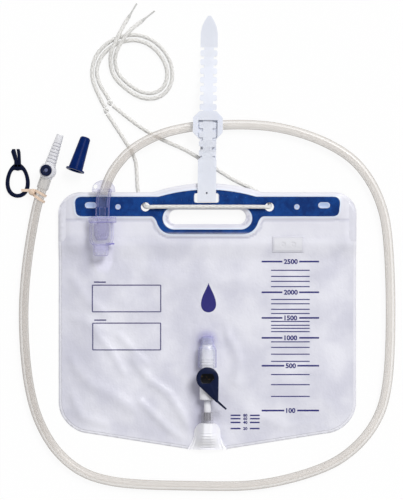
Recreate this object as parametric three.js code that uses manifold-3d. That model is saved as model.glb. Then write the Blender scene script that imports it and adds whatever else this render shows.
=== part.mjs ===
// Urine drainage bag, lying flat on its back with its tube, hanging strap and hanging cord laid out.
// Millimetres, +Z up, +Y from the drain tap towards the hanging strap, z = 0 is the surface it lies on.
// The origin is under the middle of the bag and its strap, without the tube and the cords.

import * as THREE from 'three';
import { mergeVertices } from 'three/addons/utils/BufferGeometryUtils.js';
import Module from 'manifold-3d';

const wasm = await Module();
wasm.setup();

// Clearance that neighbouring pieces keep
const CLEARANCE = 0.3;

// Bag outline
const BAG_WIDTH = 312;
const BAG_TOP = 42.5;
const HUMP_RISE = 9.5;
const HUMP_HALF = 57.5;
const SHOULDER_RADIUS = 23;
const SIDE_FOOT = -177.5;
const FOOT_CORNER_WIDTH = 38;
const BAG_FOOT = -226.8;
const FOOT_FLAT_HALF = 19.5;
const FOOT_SLOPE = 0.157;

// Bag films and the room between them
const FILM = 0.4;
const WELD = 4;
const POUCH_ROOM = 3;
const POUCH_RAMP = 38;
const HEADER_LIFT = 5;
const HEADER_FOOT = -4;
const FLOOR_FOOT = -30;

// Stiffener plate, sealed between the films
const PLATE_THICKNESS = 1.6;
const PLATE_SIDE_MARGIN = 17.4;
const PLATE_HALF_LENGTH = BAG_WIDTH / 2 - PLATE_SIDE_MARGIN;
const PLATE_TOP = 37.8;
const PLATE_DEPTH = 20.5;
const PLATE_END_SLANT = 0.7;
const PLATE_CORNER = 7;
const PLATE_HUMP_RISE = 7.4;
const PLATE_HUMP_HALF = 51;
const GRIP_HALF = 46.9;
const GRIP_CENTRE = 15.4;
const GRIP_RADIUS = 11.9;
const GRIP_BAR = 5;
const GRIP_FLARE = 9;
const FLARE_FOOT = 3;
const FLARE_STEP = 2.5;
const FLARE_DROP = 5;
const FLARE_LIFT = 4;
const FLARE_TURN = 12;
const FLARE_RUN = 20;
const HUMP_POINTS = 12;
const FILM_GRIP_HALF = 40.3;
const FILM_GRIP_CENTRE = 16.8;
const FILM_GRIP_RADIUS = 7.6;
const END_SLOT_LENGTH = 12.6;
const END_SLOT_WIDTH = 6.4;
const END_SLOT_X = PLATE_HALF_LENGTH - 16.6;
const END_SLOT_Y = 28.9;
const ROUND_HOLE_RADIUS = 3;
const ROUND_HOLE_X = 93.5;
const CORD_HOLE_X = 64.8;
const CORD_HOLE_Y = 27.2;
const CORD_HOLE_RADIUS = 4.8;
const SLOT_X = -0.95;
const SLOT_HALF = 13.1;
const SLOT_LOW = 31.5;
const SLOT_HIGH = 41.5;
const SLOT_CORNER = 2.2;
const SLOT_MARGIN = 0.8;

// Hanging strap with its ratchet head
const STRAP_THICKNESS = 1.2;
const STRAP_WIDTH = 19.4;
const STRAP_SHIFT = -1.46;
const STRAP_TILT = -0.0166;
const TAIL_WIDTH = 18;
const TAIL_CORE = 10;
const TAIL_CUT_TOP = 20;
const TOOTH_PITCH = 9.55;
const TOOTH_HEIGHT = 6.6;
const TOOTH_CORNER = 2;
const TOOTH_CORNER_STEPS = 3;
const TEETH_FIRST = 188.5;
const WIDE_PART_TOP = 76.5;
const TEETH_COUNT = Math.floor((TEETH_FIRST - WIDE_PART_TOP - TOOTH_HEIGHT / 2) / TOOTH_PITCH) + 1;
const STRAP_TIP = 228;
const TIP_LENGTH = 18;
const TIP_BLUNT = 1.6;
const TIP_SHAPE = [[1.6, 0.6], [4, 0.3]];
const BACK_WIDTH = 16.6;
const BACK_SHIFT = 0.9;
const BACK_SINK = 0.7;
const BACK_STATIONS = [[62, 0], [84, 1.6]];
const FRONT_STATIONS = [[62, 0], [76, 0.5], [84, 1.3]];
const HEAD_RAMP = [90, -1];
const TAIL_STATIONS = [[0, 0], [8, -0.3], [20, -2.1], [34, -5.6], [47, -8.9], [58, -10.9]];
const TAIL_LANDING = [[68, 0.25], [78, 0]];
const HEAD_LOW = 97.6;
const HEAD_HIGH = 127;
const HEAD_WIDTH = 31.2;
const HEAD_CUT = 7;
const HEAD_BAR = 9.6;
const HEAD_BAR_THICKNESS = 1.6;
const HEAD_WALL_GAP = 0.4;
const HEAD_OVER_TUBE = 0.8;
const STRAP_HOLE_Y = 41.6;
const STRAP_HOLE_RADIUS = 1;

// Drain tube and its inlet on the bag
const TUBE_RADIUS = 5;
const TUBE_FIT = 0.35;
const TUBE_SIDES = 10;
const TUBE_STEPS = 76;
const INLET_X = -109.3;
const SOCKET_RADIUS = 7.35;
const SOCKET_TOP = 45.2;
const SOCKET_STOP = 26.5;
const SOCKET_BORE = 3.2;
const TAB_TOP = 55;
const TAB_HALF = 12.2;
const TAB_THICKNESS = 2.2;
const TAB_HOLE_RADIUS = 1.6;
const TAB_FOOT = 3;
const TAB_BEND = 0.6;
const TAB_LEFT_BEND = 0.9;
const TAB_LEFT_DROP = 6;
const CHAMBER_CAP_TOP = 16.4;
const CHAMBER_CAP_THICKNESS = 5.9;
const CHAMBER_CAP_HALF = 15;
const CHAMBER_HALF = 13.4;
const CHAMBER_FOOT = -12.8;
const CHAMBER_WALL = 1.3;
const CHAMBER_HALF_DEPTH = 7.25;
const NECK_HALF = 7.8;
const NECK_HALF_DEPTH = 5.2;
const NECK_FOOT = -24.2;
const NECK_PIPE_Y = -18.2;
const NECK_PIPE_RADIUS = 4.2;
const NECK_PIPE_BORE = 2.6;
const NECK_PIPE_REACH = 0.9;
const CUP_CORNERS = [[4, 0], [1, 2], [0, 6]];
const NECK_CORNER = 1.5;
const NOZZLE_SHOULDER = 9;
const NOZZLE_TOP = 14;
const NOZZLE_FOOT = -4;
const NOZZLE_RADIUS = 5.4;
const NOZZLE_TIP_RADIUS = 3.2;
const NOZZLE_BORE = 1.8;
const VALVE_HALF = 12;
const VALVE_TOP = -15.5;
const VALVE_FOOT = -38.5;
const VALVE_THICKNESS = 0.6;
const VALVE_ROWS = [VALVE_TOP, -17, -24, FLOOR_FOOT, VALVE_FOOT];
const VALVE_SHARES = [-1, -0.35, 0.35, 1];

// Air vent patch
const VENT_SIDE_MARGIN = 71.6;
const VENT_X = BAG_WIDTH / 2 - VENT_SIDE_MARGIN;
const VENT_Y = -12.1;
const VENT_WIDTH = 33.2;
const VENT_HEIGHT = 17;
const VENT_THICKNESS = 0.6;

// Drain tap, its holster and its spout
const TAP_Y = -151.4;
const TAP_AXIS_Z = 11.2;
const BARREL_RADIUS = 8.6;
const BARREL_TOP = 17.6;
const BARREL_FLOOR = 1.2;
const STEM_RADIUS = 5.5;
const TAP_BLOCK_RADIUS = 6.2;
const TAP_BLOCK_HALF = 8.2;
const TAP_BLOCK_FOOT = -174.5;
const TAP_NECK_RADIUS = 3.7;
const TAP_NECK_FOOT = -196;
const TAP_BORE = 2.1;
const SPIGOT_RADIUS = 4.8;
const SPIGOT_TOP = -121.5;
const LEVER_RADIUS = 11.7;
const LEVER_THICKNESS = 3.4;
const LEVER_NOSE_X = 9.9;
const LEVER_NOSE_Y = -23.4;
const LEVER_NOSE_RADIUS = 1.4;
const LEVER_TAIL_X = 19.4;
const LEVER_TAIL_Y = -31.8;
const LEVER_TAIL_WIDTH = 1.9;
const RECESS_RADIUS = 7;
const RECESS_HALF = 4.9;
const RECESS_DEPTH = 1.6;
const HOLSTER_TOP = -108.2;
const HOLSTER_MOUTH = -140.6;
const HOLSTER_NECK_FOOT = -116;
const HOLSTER_SHOULDER = -122;
const HOLSTER_HALF = 9.7;
const HOLSTER_NECK_HALF = 6.4;
const HOLSTER_HALF_DEPTH = 6.1;
const HOLSTER_WALL = 1.2;
const HOLSTER_PATCH_HALF = 14;
const HOLSTER_PATCH_TOP = -99.8;
const HOLSTER_PATCH = 0.8;
const HOLSTER_PATCH_CORNER = 6;
const OUTLET_RADIUS = 6.2;
const OUTLET_BORE = 4.05;
const OUTLET_TOP = -187;
const OUTLET_FOOT = -213.5;
const SPOUT_TOP = -198.5;
const SPOUT_DOME = 9;
const SPOUT_HALF = 17.2;
const SPOUT_CROWN_HALF = 7.6;
const SPOUT_WALL = 1.1;
const SPOUT_FOLD = 1.1;
const SPOUT_FOLD_HEIGHT = 6;
const SPOUT_FOLD_RUN = 16;
const SPOUT_LIP_INSET = 2;
const SPOUT_LIP_HEIGHT = 4.8;

// Catheter connector, sample port, cap, sheet clip and elastic band
const CONNECTOR_X = -166.6;
const CONNECTOR_Y = 64.6;
const CONNECTOR_Z = 7;
const CONNECTOR_TURN = -0.323;
const BODY_RADIUS = 6.3;
const BODY_HEAD = 6.3;
const CONE_TIP = 40.1;
const CONE_BASE_RADIUS = 5.4;
const CONE_TIP_RADIUS = 3.5;
const CONE_BORE = 1.9;
const CONE_RIDGES = 6;
const RIDGE_PITCH = 3.3;
const RIDGE_STEP = 0.35;
const PORT_ROLL = -0.27;
const PORT_RADIUS = 7.8;
const PORT_RISE = 7.6;
const PORT_DROP = 4.6;
const COLLAR_RADIUS = 6;
const COLLAR_HEIGHT = 2.2;
const SEPTUM_RADIUS = 2;
const SEPTUM_SINK = 1.2;
const SLEEVE_LENGTH = 11.5;
const SLEEVE_RADIUS = 6.15;
const CAP_X = -132.9;
const CAP_Y = 82.5;
const CAP_TURN = -0.304;
const CAP_LENGTH = 36.9;
const CAP_TIP_RADIUS = 5.4;
const CAP_MOUTH_RADIUS = 7.6;
const CAP_FLANGE_RADIUS = 9.9;
const CAP_FLANGE = 1.6;
const CAP_WALL = 1.2;
const CAP_ROUND = 1.2;
const CLIP_X = -199;
const CLIP_Y = 55;
const CLIP_THICKNESS = 3.6;
const CLIP_OUTER_HALF = 12.4;
const CLIP_OUTER_RISE = 18.2;
const CLIP_WALL = 3.6;
const CLIP_WAIST_HALF = 3.2;
const CLIP_PRONG_HALF = 5.2;
const CLIP_PRONG_LENGTH = 17;
const CLIP_SLIT = 0.8;
const CLIP_LEAN = -1.6;
const CLIP_PRONG_CORNER = 3;
const CLIP_PRONG_BLUNT = 1.5;
const BAND_INNER = 5.6;
const BAND_THICKNESS = 0.9;
const BAND_WIDTH = 2.6;
const BAND_SINK = 0.4;
const BAND_TURNS = [[-174.3, 41.3, -29, 1.04], [-176, 35.7, -34, 1.07]];
const BAND_KNOT_SIZE = [4.6, 3.6, 3.2];
const BAND_KNOT_PLACE = [-182.8, 42.6, 5.4];
const HOOK_LEFT = -195;
const HOOK_RIGHT = -183;
const HOOK_LOW = 43.2;
const HOOK_HIGH = 46;

// Hanging cord
const CORD_RADIUS = 2.1;
const CORD_SIDES = 8;
const LOOP_STEPS = 80;
const LEFT_TIE_STEPS = 46;
const RIGHT_TIE_STEPS = 42;
const KNOT_RADIUS = 3.3;
const KNOT_SHAPE = [1.05, 0.9, 0.95];
const LEFT_KNOT_TURN = 1.95;
const RIGHT_KNOT_TURN = 2.4;
const TIP_GAP = 0.55;
const TIP_CORE_RADIUS = 0.85;
const TIP_TAPER = 6;
const TIP_REACH = 17.4;

// Route of the drain tube's centre line, from the inlet socket round the bag to the connector
const TUBE_ROUTE = [
  [-109.3, 26.8, 15.7], [-109.2, 34.1, 15.7], [-107.9, 41.0, 15.7], [-105.8, 48.0, 15.7],
  [-102.7, 56.1, 15.4], [-98.1, 64.9, 14.5], [-91.6, 73.9, 13.0], [-83.4, 83.0, 11.1],
  [-73.3, 90.7, 9.9], [-62.4, 97.0, 9.75], [-50.8, 102.2, 9.6], [-38.7, 106.2, 8.1],
  [-24.6, 109.5, 6.0], [-8.8, 111.8, 5.1], [44.7, 113.1, 5.1],
  [75.4, 109.9, 5.1], [105.3, 102.0, 5.1], [131.8, 90.4, 5.1], [153.3, 75.6, 5.1],
  [169.4, 55.8, 5.1], [180.4, 33.4, 5.1], [187.1, 7.4, 5.1], [191.7, -70.4, 5.1],
  [188.4, -156.5, 5.1], [180.5, -188.5, 5.1], [165.0, -213.7, 5.1], [140.3, -235.7, 5.1],
  [108.8, -250.4, 5.1], [54.0, -263.3, 5.1], [-12.0, -264.8, 5.1], [-100.2, -260.0, 5.1],
  [-132.7, -249.1, 5.1], [-157.4, -228.4, 5.1], [-175.8, -197.9, 5.1], [-186.7, -159.6, 5.1],
  [-192.4, -93.4, 5.1], [-189.4, -36.8, 5.1], [-179.2, 24.0, 6.6], [-173.4, 44.2, 7.0],
  [-169.2, 56.8, 7.0],
];

// Route of the cord that is threaded through the header, from its left knot to its right knot
const LOOP_ROUTE = [
  [-104.9, 124.6, 2.15], [-95.8, 110.9, 2.15], [-86.5, 96.6, 2.15], [-79.2, 84.5, 2.15],
  [-75.2, 74.0, 2.15], [-73.9, 59.9, 2.2], [-73.1, 46.2, 2.3], [-71.5, 39.5, 2.3],
  [-68.8, 33.4, 2.5], [-66.5, 29.5, 3.9], [-65.3, 27.7, 6.5], [-63.9, 27.0, 8.9],
  [-60.6, 27.0, 10.3], [-54.0, 27.2, 10.45], [-30.0, 27.3, 10.45], [0.0, 27.3, 10.45],
  [30.0, 27.3, 10.45], [54.0, 27.2, 10.45], [60.6, 27.0, 10.3], [63.9, 27.0, 8.9],
  [65.3, 27.6, 6.5], [65.3, 29.7, 3.9], [63.5, 33.4, 2.5], [60.0, 37.6, 2.3],
  [54.7, 41.5, 2.3], [46.8, 46.3, 2.3], [26.9, 56.1, 2.15],
  [3.8, 70.4, 2.15], [-22.5, 86.5, 2.15], [-48.7, 98.5, 2.15], [-69.7, 110.7, 2.15],
  [-90.2, 126.2, 2.15], [-99.2, 133.6, 2.15],
];

// Routes of the two tying ends, laid side by side in one round and crossed over it
const LEFT_TIE_ROUTE = [
  [-107.5, 131.7, 2.15], [-111.2, 138.6, 2.15], [-115.7, 148.1, 2.15], [-119.5, 157.5, 2.15],
  [-121.0, 167.0, 2.15], [-120.1, 175.9, 2.15], [-116.8, 185.3, 2.15], [-110.7, 193.7, 2.15],
  [-102.8, 200.3, 2.15], [-93.3, 205.0, 2.15], [-82.8, 207.3, 2.15], [-72.3, 207.3, 2.15],
  [-61.8, 204.1, 2.15], [-52.4, 198.0, 2.15], [-44.5, 189.5, 2.15], [-39.3, 180.1, 2.15],
  [-36.9, 169.6, 2.15], [-37.6, 158.6, 2.15], [-42.1, 149.3, 2.15], [-49.8, 143.0, 2.15],
  [-59.2, 140.7, 2.15], [-69.7, 142.0, 2.15], [-79.7, 147.0, 2.15], [-88.8, 154.1, 2.15],
  [-96.5, 162.2, 2.15], [-100.4, 170.6, 2.4], [-101.6, 180.1, 4.4], [-100.6, 189.5, 6.6],
  [-97.0, 197.9, 6.95], [-92.6, 207.4, 6.7], [-88.1, 216.8, 3.9], [-83.2, 225.2, 2.2],
];
const RIGHT_TIE_ROUTE = [
  [-103.1, 139.8, 2.15], [-106.5, 145.4, 2.15], [-110.8, 152.2, 2.15], [-114.2, 159.6, 2.15],
  [-115.9, 167.5, 2.15], [-115.1, 174.8, 2.15], [-112.1, 182.7, 2.15], [-106.9, 189.8, 2.15],
  [-100.0, 195.4, 2.15], [-91.8, 199.5, 2.15], [-82.5, 201.6, 2.15], [-73.4, 201.6, 2.15],
  [-64.5, 198.9, 2.15], [-56.3, 193.5, 2.15], [-49.5, 186.2, 2.15], [-44.7, 177.8, 2.15],
  [-42.4, 168.7, 2.15], [-43.1, 159.9, 2.15], [-46.4, 153.1, 2.15], [-52.3, 148.4, 2.15],
  [-59.6, 146.6, 2.15], [-68.0, 147.6, 2.15], [-76.8, 151.9, 2.15], [-85.2, 158.3, 2.15],
  [-92.2, 165.7, 2.15], [-95.5, 172.7, 2.4], [-96.6, 180.4, 4.1], [-95.7, 188.0, 6.0],
  [-92.4, 195.3, 6.9], [-88.2, 202.1, 6.95], [-83.2, 209.2, 6.8], [-76.4, 216.1, 4.3],
  [-69.3, 221.8, 2.2],
];
const LEFT_KNOT = [-106.3, 128.1];
const RIGHT_KNOT = [-102, 136.1];

// Solids

function signedVolume(vertices, triangles) {
  let sum = 0;
  const a = new THREE.Vector3();
  const b = new THREE.Vector3();
  const c = new THREE.Vector3();
  for (let i = 0; i < triangles.length; i += 3) {
    a.fromArray(vertices, triangles[i] * 3);
    b.fromArray(vertices, triangles[i + 1] * 3);
    c.fromArray(vertices, triangles[i + 2] * 3);
    sum += a.dot(b.cross(c));
  }
  return sum;
}

// A closed solid from a geometry whose shared corners are merged and whose faces point out
function solid(geometry) {
  const bare = geometry.clone();
  bare.deleteAttribute('normal');
  bare.deleteAttribute('uv');
  const merged = mergeVertices(bare, 1e-4);
  const index = merged.index.array;
  const triangles = [];
  for (let i = 0; i < index.length; i += 3) {
    const [p, q, r] = [index[i], index[i + 1], index[i + 2]];
    if (p !== q && q !== r && r !== p) triangles.push(p, q, r);
  }
  const vertices = merged.attributes.position.array;
  if (signedVolume(vertices, triangles) < 0) triangles.reverse();
  return new wasm.Manifold(new wasm.Mesh({
    numProp: 3,
    vertProperties: new Float32Array(vertices),
    triVerts: new Uint32Array(triangles),
  }));
}

function geometryOf(shape) {
  const mesh = shape.getMesh();
  const geometry = new THREE.BufferGeometry();
  geometry.setAttribute('position', new THREE.BufferAttribute(mesh.vertProperties, 3));
  geometry.setIndex(new THREE.BufferAttribute(mesh.triVerts, 1));
  geometry.computeVertexNormals();
  return geometry;
}

function union(...solids) {
  return solids.reduce((sum, next) => sum.add(next));
}

function prism(shape, low, high, curveSegments = 6) {
  const settings = { depth: high - low, bevelEnabled: false, curveSegments };
  const geometry = new THREE.ExtrudeGeometry(shape, settings);
  return solid(geometry.translate(0, 0, low));
}

function box(lowX, lowY, lowZ, highX, highY, highZ) {
  const geometry = new THREE.BoxGeometry(highX - lowX, highY - lowY, highZ - lowZ);
  return solid(geometry.translate((lowX + highX) / 2, (lowY + highY) / 2, (lowZ + highZ) / 2));
}

// A turned solid round the Y axis from [radius, y] pairs that start and end on the axis
function turned(profile, sides, flatness = 1) {
  const points = profile.map(([radius, y]) => new THREE.Vector2(radius, y));
  return solid(new THREE.LatheGeometry(points, sides).scale(1, 1, flatness));
}

function rod(radius, lowY, highY, sides = 16) {
  return turned([[0, lowY], [radius, lowY], [radius, highY], [0, highY]], sides);
}

function upright(radius, lowZ, highZ, x, y, sides = 24) {
  const geometry = new THREE.CylinderGeometry(radius, radius, highZ - lowZ, sides);
  return solid(geometry.rotateX(Math.PI / 2).translate(x, y, (lowZ + highZ) / 2));
}

// A shape with round ends, length along X
function stadium(x, y, halfLength, radius) {
  const shape = new THREE.Shape();
  shape.absarc(x + halfLength - radius, y, radius, -Math.PI / 2, Math.PI / 2, false);
  shape.absarc(x - halfLength + radius, y, radius, Math.PI / 2, Math.PI * 1.5, false);
  shape.closePath();
  return shape;
}

function strapSlot(margin) {
  const right = SLOT_X + SLOT_HALF - margin - SLOT_CORNER;
  const left = SLOT_X - SLOT_HALF + margin + SLOT_CORNER;
  const low = SLOT_LOW + SLOT_CORNER;
  const high = SLOT_HIGH - SLOT_CORNER;
  const shape = new THREE.Shape();
  shape.absarc(right, low, SLOT_CORNER, -Math.PI / 2, 0, false);
  shape.absarc(right, high, SLOT_CORNER, 0, Math.PI / 2, false);
  shape.absarc(left, high, SLOT_CORNER, Math.PI / 2, Math.PI, false);
  shape.absarc(left, low, SLOT_CORNER, Math.PI, Math.PI * 1.5, false);
  shape.closePath();
  return shape;
}

function disc(x, y, radius) {
  const shape = new THREE.Shape();
  shape.absarc(x, y, radius, 0, Math.PI * 2, false);
  return shape;
}

function polygon(points) {
  return new THREE.Shape(points.map(([x, y]) => new THREE.Vector2(x, y)));
}

// A round cord or tube of plain section carried along a route
function cord(route, radius, sides, steps) {
  const path = new THREE.CatmullRomCurve3(route.map((p) => new THREE.Vector3(...p)), false, 'centripetal');
  const section = new THREE.Shape();
  for (let i = 0; i < sides; i += 1) {
    const angle = (i / sides) * Math.PI * 2;
    const point = [radius * Math.cos(angle), radius * Math.sin(angle)];
    if (i === 0) section.moveTo(...point);
    else section.lineTo(...point);
  }
  section.closePath();
  return solid(new THREE.ExtrudeGeometry(section, { steps, extrudePath: path, bevelEnabled: false }));
}

// A sheet between two height functions, on a grid of columns and of rows that follow each column
function sheet(columns, rowCount, rowY, low, high) {
  const places = new Map();
  const plan = [];
  const grid = columns.map((x) => Array.from({ length: rowCount }, (_, row) => {
    const y = rowY(x, row);
    const key = `${x.toFixed(3)},${y.toFixed(3)}`;
    if (!places.has(key)) {
      places.set(key, plan.length);
      plan.push([x, y]);
    }
    return places.get(key);
  }));
  const top = [];
  for (let i = 0; i + 1 < columns.length; i += 1) {
    for (let j = 0; j + 1 < rowCount; j += 1) {
      const corners = [grid[i][j], grid[i][j + 1], grid[i + 1][j + 1], grid[i + 1][j]];
      for (const [a, b, c] of [[0, 1, 2], [0, 2, 3]]) {
        const [p, q, r] = [corners[a], corners[b], corners[c]];
        if (p !== q && q !== r && r !== p) top.push([p, q, r]);
      }
    }
  }
  const count = plan.length;
  const vertices = [];
  for (const level of [high, low]) {
    for (const [x, y] of plan) vertices.push(x, y, level(x, y));
  }
  const edges = new Set(top.flatMap(([p, q, r]) => [`${p},${q}`, `${q},${r}`, `${r},${p}`]));
  const triangles = [];
  for (const [p, q, r] of top) {
    triangles.push(p, q, r, p + count, r + count, q + count);
    for (const [a, b] of [[p, q], [q, r], [r, p]]) {
      if (!edges.has(`${b},${a}`)) triangles.push(a, a + count, b + count, a, b + count, b);
    }
  }
  return new wasm.Manifold(new wasm.Mesh({
    numProp: 3,
    vertProperties: new Float32Array(vertices),
    triVerts: new Uint32Array(triangles),
  }));
}

// Heights of the bag

function smooth(t) {
  const s = Math.min(Math.max(t, 0), 1);
  return s * s * (3 - 2 * s);
}

function bagTopEdge(x) {
  const reach = Math.abs(x);
  const cornerStart = BAG_WIDTH / 2 - SHOULDER_RADIUS;
  if (reach > cornerStart) {
    const run = Math.min(reach - cornerStart, SHOULDER_RADIUS);
    return BAG_TOP - SHOULDER_RADIUS + Math.sqrt(SHOULDER_RADIUS ** 2 - run ** 2);
  }
  return BAG_TOP + HUMP_RISE * Math.max(0, 1 - (reach / HUMP_HALF) ** 2);
}

function bagFootEdge(x) {
  const reach = Math.abs(x);
  const slope = BAG_FOOT + FOOT_SLOPE * Math.max(0, Math.min(reach, BAG_WIDTH / 2) - FOOT_FLAT_HALF);
  const cornerStart = BAG_WIDTH / 2 - FOOT_CORNER_WIDTH;
  if (reach < cornerStart) return slope;
  const depth = SIDE_FOOT - BAG_FOOT - FOOT_SLOPE * (cornerStart - FOOT_FLAT_HALF);
  const run = Math.min((reach - cornerStart) / FOOT_CORNER_WIDTH, 1);
  return Math.max(slope, SIDE_FOOT - depth * Math.sqrt(1 - run ** 2));
}

function backUnderside(x, y) {
  return HEADER_LIFT * smooth((y - FLOOR_FOOT) / (HEADER_FOOT - FLOOR_FOOT));
}

function backTop(x, y) {
  return backUnderside(x, y) + FILM;
}

// How far the front film stands off the back film, apart from their clearance
function roomBetween(x, y) {
  const side = BAG_WIDTH / 2 - WELD - Math.abs(x);
  const top = bagTopEdge(x) - y;
  const foot = y - bagFootEdge(x) - WELD;
  const plateRoom = (PLATE_THICKNESS + CLEARANCE) * smooth(side / 9) * smooth(top / 3.5);
  const pouchRoom = POUCH_ROOM * smooth(Math.min(side, foot) / POUCH_RAMP);
  const blend = smooth((HEADER_FOOT - y) / 20);
  return plateRoom + (pouchRoom - plateRoom) * blend;
}

function frontUnderside(x, y) {
  return backTop(x, y) + CLEARANCE + roomBetween(x, y);
}

function frontTop(x, y) {
  return frontUnderside(x, y) + FILM;
}

const PLATE_LOW = HEADER_LIFT + FILM + CLEARANCE;
const HEADER_TOP = PLATE_LOW + PLATE_THICKNESS + CLEARANCE + FILM;
const INLET_Z = HEADER_TOP + CLEARANCE + SOCKET_RADIUS + 0.05;
const FILM_TOP = FILM + CLEARANCE + POUCH_ROOM + FILM;

// The bag's films, cut for the hand grip, the strap and the cord

function filmHoles() {
  const grip = stadium(0, FILM_GRIP_CENTRE, FILM_GRIP_HALF, FILM_GRIP_RADIUS);
  const cordHoles = [-1, 1].map((side) => disc(side * CORD_HOLE_X, CORD_HOLE_Y, CORD_HOLE_RADIUS));
  const outlines = [grip, strapSlot(SLOT_MARGIN), ...cordHoles];
  const holes = outlines.map((shape) => prism(shape, -1, HEADER_TOP + 1, 8));
  return [...holes, cord(LOOP_ROUTE, CORD_RADIUS + CLEARANCE, CORD_SIDES, LOOP_STEPS)];
}

function cutFilm(film) {
  return filmHoles().reduce((rest, hole) => rest.subtract(hole), film);
}

function mirroredColumns(half) {
  return [...half.map((x) => -x).reverse(), 0, ...half];
}

function backFilm() {
  const half = BAG_WIDTH / 2;
  const columns = mirroredColumns([FOOT_FLAT_HALF, 38, HUMP_HALF, 90, half - FOOT_CORNER_WIDTH, 128,
    half - SHOULDER_RADIUS + 8, 147, 153, half]);
  const levels = [HEADER_FOOT, -10, -17, -24, FLOOR_FOOT, -120];
  const rowY = (x, row) => {
    if (row === 0) return bagTopEdge(x);
    if (row > levels.length) return bagFootEdge(x);
    return Math.min(Math.max(levels[row - 1], bagFootEdge(x)), bagTopEdge(x));
  };
  return cutFilm(sheet(columns, levels.length + 2, rowY, backUnderside, backTop));
}

function frontFilm() {
  const half = BAG_WIDTH / 2;
  const columns = mirroredColumns([FOOT_FLAT_HALF, 38, HUMP_HALF, 78, 98, half - FOOT_CORNER_WIDTH, 131, 141,
    148, half - WELD, half]);
  const levels = [HEADER_FOOT, -10, -17, -24, FLOOR_FOOT, -60, -110, -150, -172, -188, -200, -211];
  const rowY = (x, row) => {
    const top = bagTopEdge(x);
    const foot = bagFootEdge(x);
    if (row === 0) return top;
    if (row === 1) return top - 3.5;
    if (row === levels.length + 2) return Math.min(foot + WELD, top - 3.5);
    if (row > levels.length + 2) return foot;
    return Math.min(Math.max(levels[row - 2], foot + WELD), top - 3.5);
  };
  return cutFilm(sheet(columns, levels.length + 4, rowY, frontUnderside, frontTop));
}

// Blue plate with its hump, hand grip, end slots and holes

function plateOutline() {
  const foot = PLATE_TOP - PLATE_DEPTH;
  const shape = new THREE.Shape();
  const gripFoot = GRIP_CENTRE - GRIP_RADIUS - GRIP_BAR;
  const gripSide = GRIP_HALF + GRIP_FLARE;
  const footEnd = PLATE_HALF_LENGTH - PLATE_END_SLANT;
  shape.moveTo(-PLATE_HALF_LENGTH, PLATE_TOP - PLATE_CORNER);
  shape.quadraticCurveTo(-PLATE_HALF_LENGTH, PLATE_TOP, -PLATE_HALF_LENGTH + PLATE_CORNER, PLATE_TOP);
  for (let i = 0; i <= HUMP_POINTS; i += 1) {
    const x = PLATE_HUMP_HALF * ((i * 2) / HUMP_POINTS - 1);
    shape.lineTo(x, PLATE_TOP + PLATE_HUMP_RISE * (1 - (x / PLATE_HUMP_HALF) ** 2));
  }
  shape.lineTo(PLATE_HALF_LENGTH - PLATE_CORNER, PLATE_TOP);
  shape.quadraticCurveTo(PLATE_HALF_LENGTH, PLATE_TOP, PLATE_HALF_LENGTH, PLATE_TOP - PLATE_CORNER);
  shape.lineTo(footEnd, foot + PLATE_CORNER);
  shape.quadraticCurveTo(footEnd, foot, footEnd - PLATE_CORNER, foot);
  const flareSide = gripSide - FLARE_STEP;
  const flareBend = gripSide - FLARE_STEP * 2;
  const flareTurn = gripSide - FLARE_TURN;
  const flareEnd = gripSide - FLARE_RUN;
  const flareFoot = foot - FLARE_DROP;
  shape.lineTo(gripSide + FLARE_FOOT, foot);
  shape.quadraticCurveTo(gripSide, foot, flareSide, flareFoot);
  shape.bezierCurveTo(flareBend, gripFoot + FLARE_LIFT, flareTurn, gripFoot, flareEnd, gripFoot);
  shape.lineTo(-flareEnd, gripFoot);
  shape.bezierCurveTo(-flareTurn, gripFoot, -flareBend, gripFoot + FLARE_LIFT, -flareSide, flareFoot);
  shape.quadraticCurveTo(-gripSide, foot, -gripSide - FLARE_FOOT, foot);
  shape.lineTo(-footEnd + PLATE_CORNER, foot);
  shape.quadraticCurveTo(-footEnd, foot, -footEnd, foot + PLATE_CORNER);
  shape.closePath();
  return shape;
}

function stiffenerPlate() {
  const holes = [
    stadium(0, GRIP_CENTRE, GRIP_HALF, GRIP_RADIUS),
    strapSlot(0),
  ];
  for (const side of [-1, 1]) {
    holes.push(stadium(side * END_SLOT_X, END_SLOT_Y, END_SLOT_LENGTH / 2, END_SLOT_WIDTH / 2));
    holes.push(disc(side * ROUND_HOLE_X, CORD_HOLE_Y, ROUND_HOLE_RADIUS));
    holes.push(disc(side * CORD_HOLE_X, CORD_HOLE_Y, CORD_HOLE_RADIUS));
  }
  let plate = prism(plateOutline(), PLATE_LOW, PLATE_LOW + PLATE_THICKNESS);
  for (const hole of holes) {
    plate = plate.subtract(prism(hole, PLATE_LOW - 1, PLATE_LOW + PLATE_THICKNESS + 1));
  }
  return plate;
}

// Hanging strap: a ratchet strip that goes through the plate's slot, back up behind and into its own head

function ribbon(levels, width, thickness) {
  const upper = levels.map(([y, z]) => [y, z + thickness / 2]);
  const lower = levels.map(([y, z]) => [y, z - thickness / 2]).reverse();
  const settings = { depth: width, bevelEnabled: false };
  const geometry = new THREE.ExtrudeGeometry(polygon([...upper, ...lower]), settings);
  const turn = new THREE.Matrix4().makeBasis(
    new THREE.Vector3(0, 1, 0),
    new THREE.Vector3(0, 0, 1),
    new THREE.Vector3(1, 0, 0),
  );
  return solid(geometry.applyMatrix4(turn).translate(-width / 2, 0, 0));
}

// One side of a tooth, from the core out and back, with a quarter circle at each outer corner
function toothSide(core, outer, low, high) {
  const points = [[core, low]];
  for (const [level, side] of [[low, -1], [high, 1]]) {
    for (let step = 0; step <= TOOTH_CORNER_STEPS; step += 1) {
      const turn = (step / TOOTH_CORNER_STEPS) * (Math.PI / 2);
      const [away, along] = side < 0 ? [Math.sin(turn), Math.cos(turn)] : [Math.cos(turn), Math.sin(turn)];
      points.push([outer - TOOTH_CORNER * (1 - away), level - side * TOOTH_CORNER * (1 - along)]);
    }
  }
  points.push([core, high]);
  return points;
}

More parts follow.
